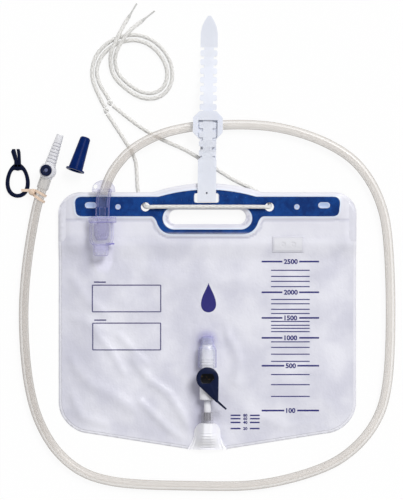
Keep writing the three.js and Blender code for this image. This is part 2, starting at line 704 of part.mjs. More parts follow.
function tailOutline() {
  const outer = TAIL_WIDTH / 2;
  const core = TAIL_CORE / 2;
  const right = [[STRAP_WIDTH / 2, SLOT_LOW - 5], [STRAP_WIDTH / 2, WIDE_PART_TOP]];
  const teethLast = TEETH_FIRST - (TEETH_COUNT - 1) * TOOTH_PITCH;
  for (let i = 0; i < TEETH_COUNT; i += 1) {
    const low = teethLast + i * TOOTH_PITCH - TOOTH_HEIGHT / 2;
    right.push(...toothSide(core, outer, low, low + TOOTH_HEIGHT));
  }
  const bladeLow = TEETH_FIRST + TOOTH_PITCH - TOOTH_HEIGHT / 2;
  right.push([core, bladeLow], [outer, bladeLow], [outer, STRAP_TIP - TIP_LENGTH]);
  for (const [inset, share] of TIP_SHAPE) right.push([outer - inset, STRAP_TIP - TIP_LENGTH * share]);
  right.push([TIP_BLUNT, STRAP_TIP]);
  const left = right.map(([x, y]) => [-x, y]).reverse();
  return polygon([...right, ...left]);
}

function hangingStrap() {
  const t = STRAP_THICKNESS;
  const backLow = HEADER_LIFT - CLEARANCE - t / 2 - BACK_SINK;
  const frontHigh = HEADER_TOP + CLEARANCE + t / 2;
  const baseLow = TUBE_RADIUS * 2 + HEAD_OVER_TUBE;
  const baseMid = baseLow + t / 2;
  const tailMid = baseMid + t + CLEARANCE;
  const barLow = tailMid + t / 2 + CLEARANCE;
  const foldY = SLOT_LOW + CLEARANCE * 2;
  const overCord = CORD_RADIUS * 2 + CLEARANCE * 2 + t / 2;
  const stations = (list, startY, startZ) => list.map(([y, z]) => [startY + y, startZ + z]);
  const back = ribbon([
    [foldY, backLow], [BAG_TOP + HUMP_RISE + 1, backLow],
    ...stations(BACK_STATIONS, 0, overCord),
    [HEAD_LOW, baseMid], [HEAD_LOW + 2, baseMid],
  ], BACK_WIDTH, t).translate([BACK_SHIFT, 0, 0]);
  const front = ribbon([
    [foldY, frontHigh],
    ...stations(FRONT_STATIONS, 0, frontHigh),
    ...stations([HEAD_RAMP], 0, tailMid),
    [HEAD_LOW, tailMid],
    ...stations(TAIL_STATIONS, HEAD_HIGH, tailMid),
    ...stations(TAIL_LANDING, HEAD_HIGH, t / 2),
    [STRAP_TIP + 1, t / 2],
  ], STRAP_WIDTH + 2, t);
  const fold = box(-STRAP_WIDTH / 2, foldY, backLow - t / 2, STRAP_WIDTH / 2, foldY + t, frontHigh + t / 2);
  const tail = front.intersect(prism(tailOutline(), -1, TAIL_CUT_TOP));
  const headHalf = HEAD_WIDTH / 2;
  const headOuter = polygon([
    [-headHalf + HEAD_CUT, HEAD_LOW], [headHalf - HEAD_CUT, HEAD_LOW],
    [headHalf, HEAD_LOW + HEAD_CUT], [headHalf, HEAD_HIGH - HEAD_CUT],
    [headHalf - HEAD_CUT, HEAD_HIGH], [-headHalf + HEAD_CUT, HEAD_HIGH],
    [-headHalf, HEAD_HIGH - HEAD_CUT], [-headHalf, HEAD_LOW + HEAD_CUT],
  ]);
  const tunnel = STRAP_WIDTH / 2 + HEAD_WALL_GAP;
  const head = prism(headOuter, baseLow, barLow + HEAD_BAR_THICKNESS)
    .subtract(box(-tunnel, HEAD_LOW - 1, baseLow + t, tunnel, HEAD_HIGH + 1, barLow))
    .subtract(box(-tunnel, HEAD_LOW - 1, barLow - 1, tunnel, HEAD_HIGH - HEAD_BAR, barLow + 5));
  const hole = upright(STRAP_HOLE_RADIUS, frontHigh - t, frontHigh + t, 0, STRAP_HOLE_Y, 8);
  return union(back, fold, tail, head).subtract(hole);
}

// Inlet: tube socket with its tab and cap, drip nozzle, drip chamber and the non-return sleeve inside the bag

// Room for the drain tube in the pieces that it enters
function tubeRoom() {
  return cord(TUBE_ROUTE, TUBE_RADIUS + TUBE_FIT, TUBE_SIDES, TUBE_STEPS);
}

function inletSocket() {
  const capFoot = CHAMBER_CAP_TOP - CHAMBER_CAP_THICKNESS;
  const barrel = rod(SOCKET_RADIUS, CHAMBER_CAP_TOP - 1, SOCKET_TOP, 20);
  const cap = turned([[0, capFoot], [CHAMBER_CAP_HALF, capFoot], [CHAMBER_CAP_HALF, CHAMBER_CAP_TOP],
    [0, CHAMBER_CAP_TOP]], 24, SOCKET_RADIUS / CHAMBER_CAP_HALF);
  const tabShape = new THREE.Shape();
  const bend = TAB_HALF * TAB_BEND;
  const leftBend = TAB_HALF * TAB_LEFT_BEND;
  const tabFoot = SOCKET_TOP - TAB_FOOT;
  tabShape.moveTo(-TAB_HALF, tabFoot);
  tabShape.lineTo(TAB_HALF, tabFoot);
  tabShape.bezierCurveTo(TAB_HALF, TAB_TOP - TAB_FOOT, bend, TAB_TOP, 1, TAB_TOP);
  tabShape.bezierCurveTo(-bend, TAB_TOP, -leftBend, TAB_TOP - TAB_LEFT_DROP, -TAB_HALF, tabFoot);
  const tab = prism(tabShape, -TAB_THICKNESS / 2, TAB_THICKNESS / 2);
  const tabHole = upright(TAB_HOLE_RADIUS, -TAB_THICKNESS, TAB_THICKNESS, -bend, SOCKET_TOP + TAB_FOOT, 8);
  const bore = rod(NOZZLE_RADIUS + CLEARANCE, capFoot - 1, NOZZLE_TOP + CLEARANCE, 16);
  const passage = rod(SOCKET_BORE, NOZZLE_TOP, SOCKET_STOP + 1, 12);
  const end = rod(TUBE_RADIUS + TUBE_FIT, SOCKET_STOP, SOCKET_STOP + 3, 16);
  return union(barrel, cap, tab)
    .subtract(tabHole)
    .subtract(bore)
    .subtract(passage)
    .subtract(end)
    .translate([INLET_X, 0, INLET_Z])
    .subtract(tubeRoom());
}

function dripNozzle() {
  const outer = turned([
    [0, NOZZLE_FOOT], [NOZZLE_TIP_RADIUS, NOZZLE_FOOT], [NOZZLE_RADIUS, NOZZLE_FOOT + NOZZLE_SHOULDER],
    [NOZZLE_RADIUS, NOZZLE_TOP], [0, NOZZLE_TOP],
  ], 16);
  return outer
    .subtract(rod(NOZZLE_BORE, NOZZLE_FOOT - 1, NOZZLE_TOP + 1, 8))
    .translate([INLET_X, 0, INLET_Z]);
}

function dripChamber() {
  const top = CHAMBER_CAP_TOP - CHAMBER_CAP_THICKNESS - CLEARANCE;
  const inner = CHAMBER_HALF - CHAMBER_WALL;
  const flatness = CHAMBER_HALF_DEPTH / CHAMBER_HALF;
  const cupProfile = (half, foot, high) => [
    [0, foot], ...CUP_CORNERS.map(([inset, rise]) => [half - inset, foot + rise]), [half, high], [0, high],
  ];
  const cup = turned(cupProfile(CHAMBER_HALF, CHAMBER_FOOT, top), 24, flatness);
  const innerFlatness = (CHAMBER_HALF_DEPTH - CHAMBER_WALL) / inner;
  const cavity = turned(cupProfile(inner, CHAMBER_FOOT + CHAMBER_WALL, top + 1), 24, innerFlatness);
  const neck = turned([
    [0, NECK_FOOT], [NECK_HALF - NECK_CORNER, NECK_FOOT], [NECK_HALF, NECK_FOOT + NECK_CORNER],
    [NECK_HALF, CHAMBER_FOOT + 1], [0, CHAMBER_FOOT + 1],
  ], 20, NECK_HALF_DEPTH / NECK_HALF);
  const pipeFoot = frontTop(INLET_X, NECK_PIPE_Y) - FILM - NECK_PIPE_REACH - INLET_Z;
  const pipe = upright(NECK_PIPE_RADIUS, pipeFoot, 0, 0, NECK_PIPE_Y, 16);
  const drain = upright(NECK_PIPE_BORE, pipeFoot - 1, 1, 0, NECK_PIPE_Y, 12);
  const passage = rod(NECK_PIPE_BORE, NECK_PIPE_Y, CHAMBER_FOOT + CHAMBER_WALL + 1, 12);
  return union(cup.subtract(cavity), neck, pipe)
    .subtract(drain)
    .subtract(passage)
    .translate([INLET_X, 0, INLET_Z]);
}

function inletFilmHole() {
  return upright(NECK_PIPE_RADIUS + CLEARANCE, FILM * 2, HEADER_TOP + 2, INLET_X, NECK_PIPE_Y, 16);
}

function valveLow(x, y) {
  return backTop(x, y) + CLEARANCE;
}

function refluxValve() {
  const columns = VALVE_SHARES.map((share) => INLET_X + share * VALVE_HALF);
  const high = (x, y) => valveLow(x, y) + VALVE_THICKNESS;
  return sheet(columns, VALVE_ROWS.length, (x, row) => VALVE_ROWS[row], valveLow, high);
}

// Air vent patch welded on the front film

function ventPatch() {
  const columns = [-0.5, 0, 0.5].map((share) => VENT_X + share * VENT_WIDTH);
  const high = VENT_Y + VENT_HEIGHT / 2;
  const rows = [high, HEADER_FOOT, -10, -17, VENT_Y - VENT_HEIGHT / 2];
  const low = (x, y) => frontTop(x, y) + CLEARANCE;
  return sheet(columns, rows.length, (x, row) => rows[row], low, (x, y) => low(x, y) + VENT_THICKNESS);
}

// Drain tap: a barrel with a spigot above, a hose neck below and a turning lever with its plug

function alongTap(shape) {
  return shape.translate([0, 0, TAP_AXIS_Z]);
}

function tapBody() {
  const low = FILM_TOP + CLEARANCE;
  const barrel = upright(BARREL_RADIUS, low, BARREL_TOP, 0, TAP_Y, 28);
  const block = alongTap(turned([[0, TAP_BLOCK_FOOT], [TAP_BLOCK_RADIUS - 1, TAP_BLOCK_FOOT],
    [TAP_BLOCK_RADIUS, TAP_BLOCK_FOOT + 1], [TAP_BLOCK_RADIUS, TAP_Y], [0, TAP_Y]], 20)
    .scale([TAP_BLOCK_HALF / TAP_BLOCK_RADIUS, 1, 1]));
  const neck = alongTap(rod(TAP_NECK_RADIUS, TAP_NECK_FOOT, TAP_BLOCK_FOOT + 1, 16));
  const spigot = alongTap(rod(SPIGOT_RADIUS, TAP_Y, SPIGOT_TOP, 20));
  const bore = alongTap(rod(TAP_BORE, TAP_NECK_FOOT - 1, SPIGOT_TOP + 1, 12));
  const seat = upright(STEM_RADIUS + CLEARANCE, low + BARREL_FLOOR, BARREL_TOP + 1, 0, TAP_Y, 28);
  return union(barrel, block, neck, spigot).subtract(bore).subtract(seat);
}

// Teardrop outline: a round head, two tangents to a small nose
function leverOutline() {
  const away = Math.hypot(LEVER_NOSE_X, LEVER_NOSE_Y);
  const facing = Math.atan2(LEVER_NOSE_Y, LEVER_NOSE_X);
  const spread = Math.acos((LEVER_RADIUS - LEVER_NOSE_RADIUS) / away);
  const noseY = TAP_Y + LEVER_NOSE_Y;
  const shape = new THREE.Shape();
  shape.absarc(0, TAP_Y, LEVER_RADIUS, facing + spread, facing - spread + Math.PI * 2, false);
  shape.absarc(LEVER_NOSE_X, noseY, LEVER_NOSE_RADIUS, facing - spread, facing + spread, false);
  shape.closePath();
  return shape;
}

function leverTailOutline() {
  const start = new THREE.Vector2(LEVER_NOSE_X, LEVER_NOSE_Y);
  const end = new THREE.Vector2(LEVER_TAIL_X, LEVER_TAIL_Y);
  const side = end.clone().sub(start).normalize().rotateAround(new THREE.Vector2(), Math.PI / 2);
  side.multiplyScalar(LEVER_TAIL_WIDTH / 2);
  const left = [end, start].map((point) => point.clone().add(side));
  const right = [start, end].map((point) => point.clone().sub(side));
  const corners = [...right, ...left];
  return polygon(corners.map((point) => [point.x, TAP_Y + point.y]));
}

function tapLever() {
  const low = BARREL_TOP + CLEARANCE;
  const high = low + LEVER_THICKNESS;
  const plate = prism(leverOutline(), low, high, 10);
  const tail = prism(leverTailOutline(), low, low + LEVER_TAIL_WIDTH);
  const stemFoot = FILM_TOP + CLEARANCE * 2 + BARREL_FLOOR;
  const stem = upright(STEM_RADIUS, stemFoot, low + 1, 0, TAP_Y, 28);
  const bore = new THREE.CylinderGeometry(TAP_BORE, TAP_BORE, STEM_RADIUS * 3, 12);
  const across = solid(bore.rotateZ(Math.PI / 2).translate(0, TAP_Y, TAP_AXIS_Z));
  const recess = prism(disc(0, TAP_Y, RECESS_RADIUS), high - RECESS_DEPTH, high + 1, 12)
    .intersect(box(-RECESS_RADIUS, TAP_Y - RECESS_HALF, low, RECESS_RADIUS, TAP_Y + RECESS_HALF, high + 2));
  return union(plate, tail, stem).subtract(across).subtract(recess);
}

function spoutHolster() {
  const low = FILM_TOP + CLEARANCE;
  const wall = HOLSTER_WALL;
  const flatness = HOLSTER_HALF_DEPTH / HOLSTER_HALF;
  const outline = (inset, mouth) => [
    [0, mouth], [HOLSTER_HALF - inset, mouth], [HOLSTER_HALF - inset, HOLSTER_SHOULDER],
    [HOLSTER_NECK_HALF - inset, HOLSTER_NECK_FOOT], [HOLSTER_NECK_HALF - inset, HOLSTER_TOP - inset],
    [0, HOLSTER_TOP - inset],
  ];
  const outer = alongTap(turned(outline(0, HOLSTER_MOUTH), 24, flatness));
  const inner = alongTap(turned(outline(wall, HOLSTER_MOUTH - 1), 24, flatness));
  const half = HOLSTER_PATCH_HALF * 2;
  const above = box(-half, HOLSTER_MOUTH - 1, low, half, HOLSTER_TOP + 1, TAP_AXIS_Z * 3);
  const patchHalf = HOLSTER_PATCH_HALF;
  const patchShape = new THREE.Shape();
  patchShape.moveTo(-patchHalf, HOLSTER_MOUTH);
  patchShape.lineTo(patchHalf, HOLSTER_MOUTH);
  const cornerX = patchHalf - HOLSTER_PATCH_CORNER;
  const cornerY = HOLSTER_PATCH_TOP - HOLSTER_PATCH_CORNER;
  patchShape.lineTo(patchHalf, cornerY);
  patchShape.quadraticCurveTo(patchHalf, HOLSTER_PATCH_TOP, cornerX, HOLSTER_PATCH_TOP);
  patchShape.lineTo(-cornerX, HOLSTER_PATCH_TOP);
  patchShape.quadraticCurveTo(-patchHalf, HOLSTER_PATCH_TOP, -patchHalf, cornerY);
  patchShape.closePath();
  const patch = prism(patchShape, low, low + HOLSTER_PATCH);
  return outer.intersect(above).subtract(inner).add(patch.subtract(inner));
}

function outletTube() {
  const wall = rod(OUTLET_RADIUS, OUTLET_FOOT, OUTLET_TOP, 20);
  return alongTap(wall.subtract(rod(OUTLET_BORE, OUTLET_FOOT - 1, OUTLET_TOP + 1, 16)));
}

// White spout, folded up over the front from the bag's bottom seam, with the outlet tube in its mouth

function spoutTopEdge(x) {
  return SPOUT_TOP - SPOUT_DOME * (Math.abs(x) / SPOUT_HALF) ** 4;
}

function outletSpout() {
  const foot = BAG_FOOT - 0.1;
  const columns = mirroredColumns([3.4, SPOUT_CROWN_HALF, 9.2, 11.5, 14, SPOUT_HALF]);
  const shares = [0, 0.25, 0.5, 0.68, 0.82, 0.92, 1];
  const rowY = (x, row) => spoutTopEdge(x) + (foot - spoutTopEdge(x)) * shares[row];
  const low = (x, y) => frontTop(x, y) + CLEARANCE;
  const crown = TAP_AXIS_Z + OUTLET_RADIUS + CLEARANCE + SPOUT_WALL;
  const high = (x, y) => {
    const flat = low(x, y) + SPOUT_WALL;
    const fold = smooth((y - foot) / SPOUT_FOLD_RUN);
    const top = SPOUT_FOLD_HEIGHT + (crown - SPOUT_FOLD_HEIGHT) * fold;
    const side = smooth((SPOUT_HALF - Math.abs(x)) / (SPOUT_HALF - SPOUT_CROWN_HALF));
    return flat + (top - flat) * side;
  };
  const body = sheet(columns, shares.length, rowY, low, high);
  const mouth = alongTap(rod(OUTLET_RADIUS + CLEARANCE, OUTLET_FOOT - CLEARANCE, SPOUT_TOP + 2, 20));
  const lipHalf = SPOUT_HALF - SPOUT_LIP_INSET;
  const lip = box(-lipHalf, foot - SPOUT_FOLD, 0, lipHalf, foot + 0.05, SPOUT_LIP_HEIGHT);
  return body.subtract(mouth).add(lip);
}

// Catheter connector on the tube's far end

function onConnector(shape) {
  return shape.rotate([0, 0, THREE.MathUtils.radToDeg(CONNECTOR_TURN)])
    .translate([CONNECTOR_X, CONNECTOR_Y, CONNECTOR_Z]);
}

function onPort(shape) {
  return onConnector(shape.rotate([0, THREE.MathUtils.radToDeg(PORT_ROLL), 0]));
}

function catheterConnector() {
  const profile = [[0, -PORT_RADIUS], [BODY_RADIUS, -PORT_RADIUS], [BODY_RADIUS, BODY_HEAD - 0.6],
    [CONE_BASE_RADIUS, BODY_HEAD]];
  const slope = (CONE_TIP_RADIUS - CONE_BASE_RADIUS) / (CONE_TIP - BODY_HEAD);
  const taper = (y) => CONE_BASE_RADIUS + slope * (y - BODY_HEAD);
  for (let i = 0; i < CONE_RIDGES; i += 1) {
    const y = BODY_HEAD + i * RIDGE_PITCH;
    profile.push([taper(y) + RIDGE_STEP, y + 0.6], [taper(y + RIDGE_PITCH) - 0.1, y + RIDGE_PITCH]);
  }
  profile.push([CONE_TIP_RADIUS, CONE_TIP], [0, CONE_TIP]);
  const boss = upright(PORT_RADIUS, -PORT_DROP, PORT_RISE, 0, 0, 24)
    .rotate([0, THREE.MathUtils.radToDeg(PORT_ROLL), 0]);
  const bore = rod(CONE_BORE, -PORT_RADIUS - 1, CONE_TIP + 1, 10);
  return onConnector(union(turned(profile, 16), boss).subtract(bore));
}

function samplePortCollar() {
  const low = PORT_RISE + CLEARANCE;
  const ring = upright(COLLAR_RADIUS, low, low + COLLAR_HEIGHT, 0, 0, 24);
  const hole = upright(SEPTUM_RADIUS + CLEARANCE, low - 1, low + COLLAR_HEIGHT + 1, 0, 0, 16);
  return onPort(ring.subtract(hole));
}

function samplePortSeptum() {
  const low = PORT_RISE + CLEARANCE;
  return onPort(upright(SEPTUM_RADIUS, low, low + COLLAR_HEIGHT - SEPTUM_SINK + 0.6, 0, 0, 16));
}

function connectorSleeve() {
  const head = -PORT_RADIUS - CLEARANCE;
  const foot = head - SLEEVE_LENGTH;
  const outer = turned([[0, foot], [SLEEVE_RADIUS - 0.4, foot], [SLEEVE_RADIUS, foot + 1],
    [SLEEVE_RADIUS, head], [0, head]], 20);
  const end = rod(TUBE_RADIUS + TUBE_FIT, head - 2, head + 1, 16);
  return onConnector(outer.subtract(end)).subtract(tubeRoom());
}

// Protective cap, taken off and lying on its rim and tip

function connectorCap() {
  const lean = Math.atan2(CAP_FLANGE_RADIUS - CAP_TIP_RADIUS, CAP_LENGTH - CAP_ROUND - CAP_FLANGE);
  const rimHeight = CAP_FLANGE_RADIUS * Math.cos(lean) + CAP_FLANGE * Math.sin(lean);
  const inner = CAP_MOUTH_RADIUS - CAP_WALL;
  const outer = turned([
    [0, 0], [CAP_FLANGE_RADIUS, 0], [CAP_FLANGE_RADIUS, CAP_FLANGE], [CAP_MOUTH_RADIUS, CAP_FLANGE],
    [CAP_TIP_RADIUS, CAP_LENGTH - CAP_ROUND], [CAP_TIP_RADIUS - CAP_ROUND, CAP_LENGTH], [0, CAP_LENGTH],
  ], 24);
  const innerTop = CAP_LENGTH - CAP_ROUND - CAP_WALL / 3;
  const cavity = turned([[0, -1], [inner, -1], [CAP_TIP_RADIUS - CAP_WALL, innerTop], [0, innerTop]], 20);
  const mouthX = CAP_X + Math.sin(CAP_TURN) * CAP_LENGTH / 2;
  const mouthY = CAP_Y - Math.cos(CAP_TURN) * CAP_LENGTH / 2;
  return outer.subtract(cavity)
    .rotate([-THREE.MathUtils.radToDeg(lean), 0, 0])
    .rotate([0, 0, THREE.MathUtils.radToDeg(CAP_TURN)])
    .translate([mouthX, mouthY, rimHeight]);
}

// Sheet clip: an egg-shaped ring with two prongs

function eggShape(inset) {
  const half = CLIP_OUTER_HALF - inset;
  const rise = CLIP_OUTER_RISE - inset;
  const shape = new THREE.Shape();
  shape.moveTo(0, -rise);
  shape.bezierCurveTo(half * 0.75, -rise, half, -rise * 0.55, half, -rise * 0.18);
  shape.bezierCurveTo(half, rise * 0.5, half * 0.6, rise, 0, rise);
  shape.bezierCurveTo(-half * 0.6, rise, -half, rise * 0.5, -half, -rise * 0.18);
  shape.bezierCurveTo(-half, -rise * 0.55, -half * 0.75, -rise, 0, -rise);
  return shape;
}

function sheetClip() {
  const waist = CLIP_OUTER_RISE + 1;
  const prongTop = waist - CLIP_PRONG_CORNER + CLIP_PRONG_LENGTH;
  const cornerY = prongTop - CLIP_PRONG_CORNER;
  const blunt = CLIP_PRONG_HALF - CLIP_PRONG_BLUNT;
  const prongs = polygon([
    [-CLIP_WAIST_HALF, waist - CLIP_WALL], [CLIP_WAIST_HALF, waist - CLIP_WALL],
    [CLIP_WAIST_HALF, waist], [CLIP_PRONG_HALF + CLIP_LEAN, cornerY],
    [blunt + CLIP_LEAN, prongTop], [-blunt + CLIP_LEAN, prongTop],
    [-CLIP_PRONG_HALF + CLIP_LEAN, cornerY], [-CLIP_WAIST_HALF, waist],
  ]);
  const slit = polygon([
    [CLIP_LEAN - CLIP_SLIT / 2, prongTop + 1], [-CLIP_SLIT / 2, waist],
    [CLIP_SLIT / 2, waist], [CLIP_LEAN + CLIP_SLIT / 2, prongTop + 1],
  ]);
  return prism(eggShape(0), 0, CLIP_THICKNESS)
    .add(prism(prongs, 0, CLIP_THICKNESS))
    .subtract(prism(eggShape(CLIP_WALL), -1, CLIP_THICKNESS + 1))
    .subtract(prism(slit, -1, CLIP_THICKNESS + 1))
    .translate([CLIP_X, CLIP_Y, 0]);
}

// Elastic band: two turns round the tube, a knot beside it and a hook over the clip's ring

function bandTurn(x, y, turn, squeeze) {
  const ring = rod(BAND_INNER + BAND_THICKNESS, -BAND_WIDTH / 2, BAND_WIDTH / 2, 16)
    .subtract(rod(BAND_INNER, -BAND_WIDTH, BAND_WIDTH, 16));
  return ring.scale([squeeze, 1, 1]).rotate([0, 0, turn]).translate([x, y, CONNECTOR_Z - BAND_SINK]);
}

function elasticBand() {
  const knot = solid(new THREE.SphereGeometry(1, 12, 8).scale(...BAND_KNOT_SIZE))
    .translate(BAND_KNOT_PLACE)
    .subtract(tubeRoom());
  const hookLow = CLIP_THICKNESS + CLEARANCE;
  const hookHigh = hookLow + BAND_THICKNESS;
  const over = box(HOOK_LEFT, HOOK_LOW, hookLow, HOOK_RIGHT, HOOK_HIGH, hookHigh);
  const down = box(HOOK_LEFT, HOOK_LOW, CLEARANCE, HOOK_LEFT + BAND_THICKNESS, HOOK_HIGH, hookHigh);
  return union(...BAND_TURNS.map((turn) => bandTurn(...turn)), knot, over, down);
}

// Hanging cord: loop, tying ends, knots and their sealed tips

function knot([x, y], turn) {
  const ball = new THREE.SphereGeometry(KNOT_RADIUS, 10, 6).rotateX(Math.PI / 2).scale(...KNOT_SHAPE);
  return solid(ball.rotateZ(turn).translate(x, y, KNOT_RADIUS * KNOT_SHAPE[2]));
}

function cordTip(route) {
  const end = new THREE.Vector3(...route.at(-1));
  const before = new THREE.Vector3(...route.at(-2));
  const heading = end.clone().sub(before);
  const turn = Math.atan2(heading.y, heading.x) - Math.PI / 2;
  const droop = -Math.atan2(CORD_RADIUS - TIP_CORE_RADIUS, TIP_REACH);
  const profile = [
    [0, 0], [CORD_RADIUS * 0.9, 0], [TIP_CORE_RADIUS, TIP_TAPER],
    [TIP_CORE_RADIUS, TIP_REACH], [0, TIP_REACH],
  ];
  const flat = heading.setZ(0).normalize().multiplyScalar(TIP_GAP);
  return turned(profile, 8)
    .rotate([THREE.MathUtils.radToDeg(droop), 0, 0])
    .rotate([0, 0, THREE.MathUtils.radToDeg(turn)])
    .translate([end.x + flat.x, end.y + flat.y, end.z]);
}

// The object

const bag = new THREE.Group();
bag.name = 'urine_drainage_bag';

function add(name, shape, color, roughness = 0.5, opacity = 1) {
  const material = new THREE.MeshStandardMaterial({ color, roughness, metalness: 0 });
  material.transparent = opacity < 1;
  material.opacity = opacity;
  const mesh = new THREE.Mesh(geometryOf(shape), material);
  mesh.name = name;
  bag.add(mesh);
  return mesh;
}

add('back_film', backFilm(), 0xe6e6f0, 0.35);
add('front_film', frontFilm().subtract(inletFilmHole()), 0xdcdce8, 0.25, 0.6);
add('stiffener_plate', stiffenerPlate(), 0x11428c, 0.4);
const strap = add('hanging_strap', hangingStrap(), 0xe3e6f2, 0.45);
strap.rotation.z = STRAP_TILT;
strap.position.x = STRAP_SHIFT;
add('inlet_socket', inletSocket(), 0xb8b4e0, 0.2, 0.7);
add('drip_nozzle', dripNozzle(), 0x9a94c8, 0.2, 0.8);
add('drip_chamber', dripChamber(), 0xb0acd8, 0.2, 0.6);
add('reflux_valve', refluxValve(), 0xd8d8ec, 0.3, 0.7);
add('vent_patch', ventPatch(), 0xf0f0f0, 0.8);
add('spout_holster', spoutHolster(), 0xb6b2e6, 0.2, 0.6);
add('tap_body', tapBody(), 0xe8e8ea, 0.45);
add('tap_lever', tapLever(), 0x0f193c, 0.4);
add('outlet_tube', outletTube(), 0xc4bfc8, 0.25, 0.7);
add('outlet_spout', outletSpout(), 0xececf2, 0.5);
add('drain_tube', cord(TUBE_ROUTE, TUBE_RADIUS, TUBE_SIDES, TUBE_STEPS), 0xcdc6be, 0.35);
add('connector_sleeve', connectorSleeve(), 0xd2ccc6, 0.35);
add('catheter_connector', catheterConnector(), 0xdedee2, 0.3);
add('sample_port_collar', samplePortCollar(), 0x0c1640, 0.4);
add('sample_port_septum', samplePortSeptum(), 0xb4bcdc, 0.7);
add('connector_cap', connectorCap(), 0x0f286e, 0.4);
add('sheet_clip', sheetClip(), 0x080f28, 0.4);
add('elastic_band', elasticBand(), 0xe6c8af, 0.8);
add('cord_loop', cord(LOOP_ROUTE, CORD_RADIUS, CORD_SIDES, LOOP_STEPS), 0xeeeeee, 0.9);
add('cord_tie_left', cord(LEFT_TIE_ROUTE, CORD_RADIUS, CORD_SIDES, LEFT_TIE_STEPS), 0xeeeeee, 0.9);
add('cord_tie_right', cord(RIGHT_TIE_ROUTE, CORD_RADIUS, CORD_SIDES, RIGHT_TIE_STEPS), 0xeeeeee, 0.9);
add('cord_knot_left', knot(LEFT_KNOT, LEFT_KNOT_TURN), 0xe8e8e8, 0.9);
add('cord_knot_right', knot(RIGHT_KNOT, RIGHT_KNOT_TURN), 0xe8e8e8, 0.9);
add('cord_tip_left', cordTip(LEFT_TIE_ROUTE), 0xc8c8c8, 0.6);
add('cord_tip_right', cordTip(RIGHT_TIE_ROUTE), 0xc8c8c8, 0.6);

export default bag;
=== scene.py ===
"""A urine drainage bag, lying flat with its tube, strap and cord laid out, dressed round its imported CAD
part.

Metres, +Z up. Sizes are written in millimetres and multiplied by MM. The CAD gives every place.
"""

import bpy
import numpy as np
from mathutils.geometry import delaunay_2d_cdt
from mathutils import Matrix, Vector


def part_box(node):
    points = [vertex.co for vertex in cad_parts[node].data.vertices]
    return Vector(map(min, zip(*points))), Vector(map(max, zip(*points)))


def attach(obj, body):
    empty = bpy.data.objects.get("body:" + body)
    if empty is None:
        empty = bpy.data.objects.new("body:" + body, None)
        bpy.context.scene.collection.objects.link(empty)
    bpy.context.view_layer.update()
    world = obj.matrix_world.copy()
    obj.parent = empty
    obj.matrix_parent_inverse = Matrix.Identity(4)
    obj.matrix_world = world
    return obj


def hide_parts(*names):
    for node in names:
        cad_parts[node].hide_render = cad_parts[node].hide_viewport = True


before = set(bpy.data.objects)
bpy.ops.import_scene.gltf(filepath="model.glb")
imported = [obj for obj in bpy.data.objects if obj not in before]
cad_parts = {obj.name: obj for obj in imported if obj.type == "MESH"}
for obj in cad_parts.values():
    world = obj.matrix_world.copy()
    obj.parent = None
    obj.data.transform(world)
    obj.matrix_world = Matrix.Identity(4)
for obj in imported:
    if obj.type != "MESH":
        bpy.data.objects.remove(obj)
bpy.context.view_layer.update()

# Camera: it looks straight down, as the photograph does, from 1.8 m up. The lens is worked out so that a
# pixel of the picture shows 1.05 mm, as in the photograph.
MM = 0.001
PHOTO_HEIGHT = 500
PIXEL_MM = 1.05
PIXEL = PIXEL_MM * MM
VIEW_CENTRE = (-6.2 * MM, -17.9 * MM)
CAMERA_HEIGHT = 1.8

camera_data = bpy.data.cameras.new("camera")
camera_data.lens = camera_data.sensor_width * CAMERA_HEIGHT / (PHOTO_HEIGHT * PIXEL)
camera = bpy.data.objects.new("camera", camera_data)
camera.location = (*VIEW_CENTRE, CAMERA_HEIGHT)
bpy.context.scene.collection.objects.link(camera)
bpy.context.scene.camera = camera


# Drain tube: clear soft PVC, extruded, 10 mm outside with a 6.6 mm bore. It is pushed into the
# inlet socket, leaves the header over the cord, lies round the bag and ends in the connector.
TUBE_RADIUS = 5.0
TUBE_BORE = 3.3
TUBE_SIDES = 32
SOCKET_MOUTH = 43
TUBE_ROUTE = [
    (-109.3, 26.8, 15.7), (-109.2, 34.1, 15.7), (-107.9, 41.0, 15.7), (-105.8, 48.0, 15.7),
    (-102.7, 56.1, 15.4), (-98.1, 64.9, 14.5), (-91.6, 73.9, 13.0), (-83.4, 83.0, 11.1),
    (-73.3, 90.7, 9.9), (-62.4, 97.0, 9.75), (-50.8, 102.2, 9.6), (-38.7, 106.2, 8.1),
    (-24.6, 109.5, 6.0), (-8.8, 111.8, 5.1), (44.7, 113.1, 5.1),
    (75.4, 109.9, 5.1), (105.3, 102.0, 5.1), (131.8, 90.4, 5.1), (153.3, 75.6, 5.1),
    (169.4, 55.8, 5.1), (180.4, 33.4, 5.1), (187.1, 7.4, 5.1), (191.7, -70.4, 5.1),
    (188.4, -156.5, 5.1), (180.5, -188.5, 5.1), (165.0, -213.7, 5.1), (140.3, -235.7, 5.1),
    (108.8, -250.4, 5.1), (54.0, -263.3, 5.1), (-12.0, -264.8, 5.1), (-100.2, -260.0, 5.1),
    (-132.7, -249.1, 5.1), (-157.4, -228.4, 5.1), (-175.8, -197.9, 5.1), (-186.7, -159.6, 5.1),
    (-192.4, -93.4, 5.1), (-189.4, -36.8, 5.1), (-179.2, 24.0, 6.6), (-173.4, 44.2, 7.0),
    (-169.2, 56.8, 7.0),
]


def tint(red, green, blue):
    """The linear colour of a colour given from 0 to 255 as a screen shows it."""
    shown = np.array([red, green, blue]) / 255
    linear = np.where(shown <= 0.04045, shown / 12.92, ((shown + 0.055) / 1.055) ** 2.4)
    return (*linear.tolist(), 1.0)


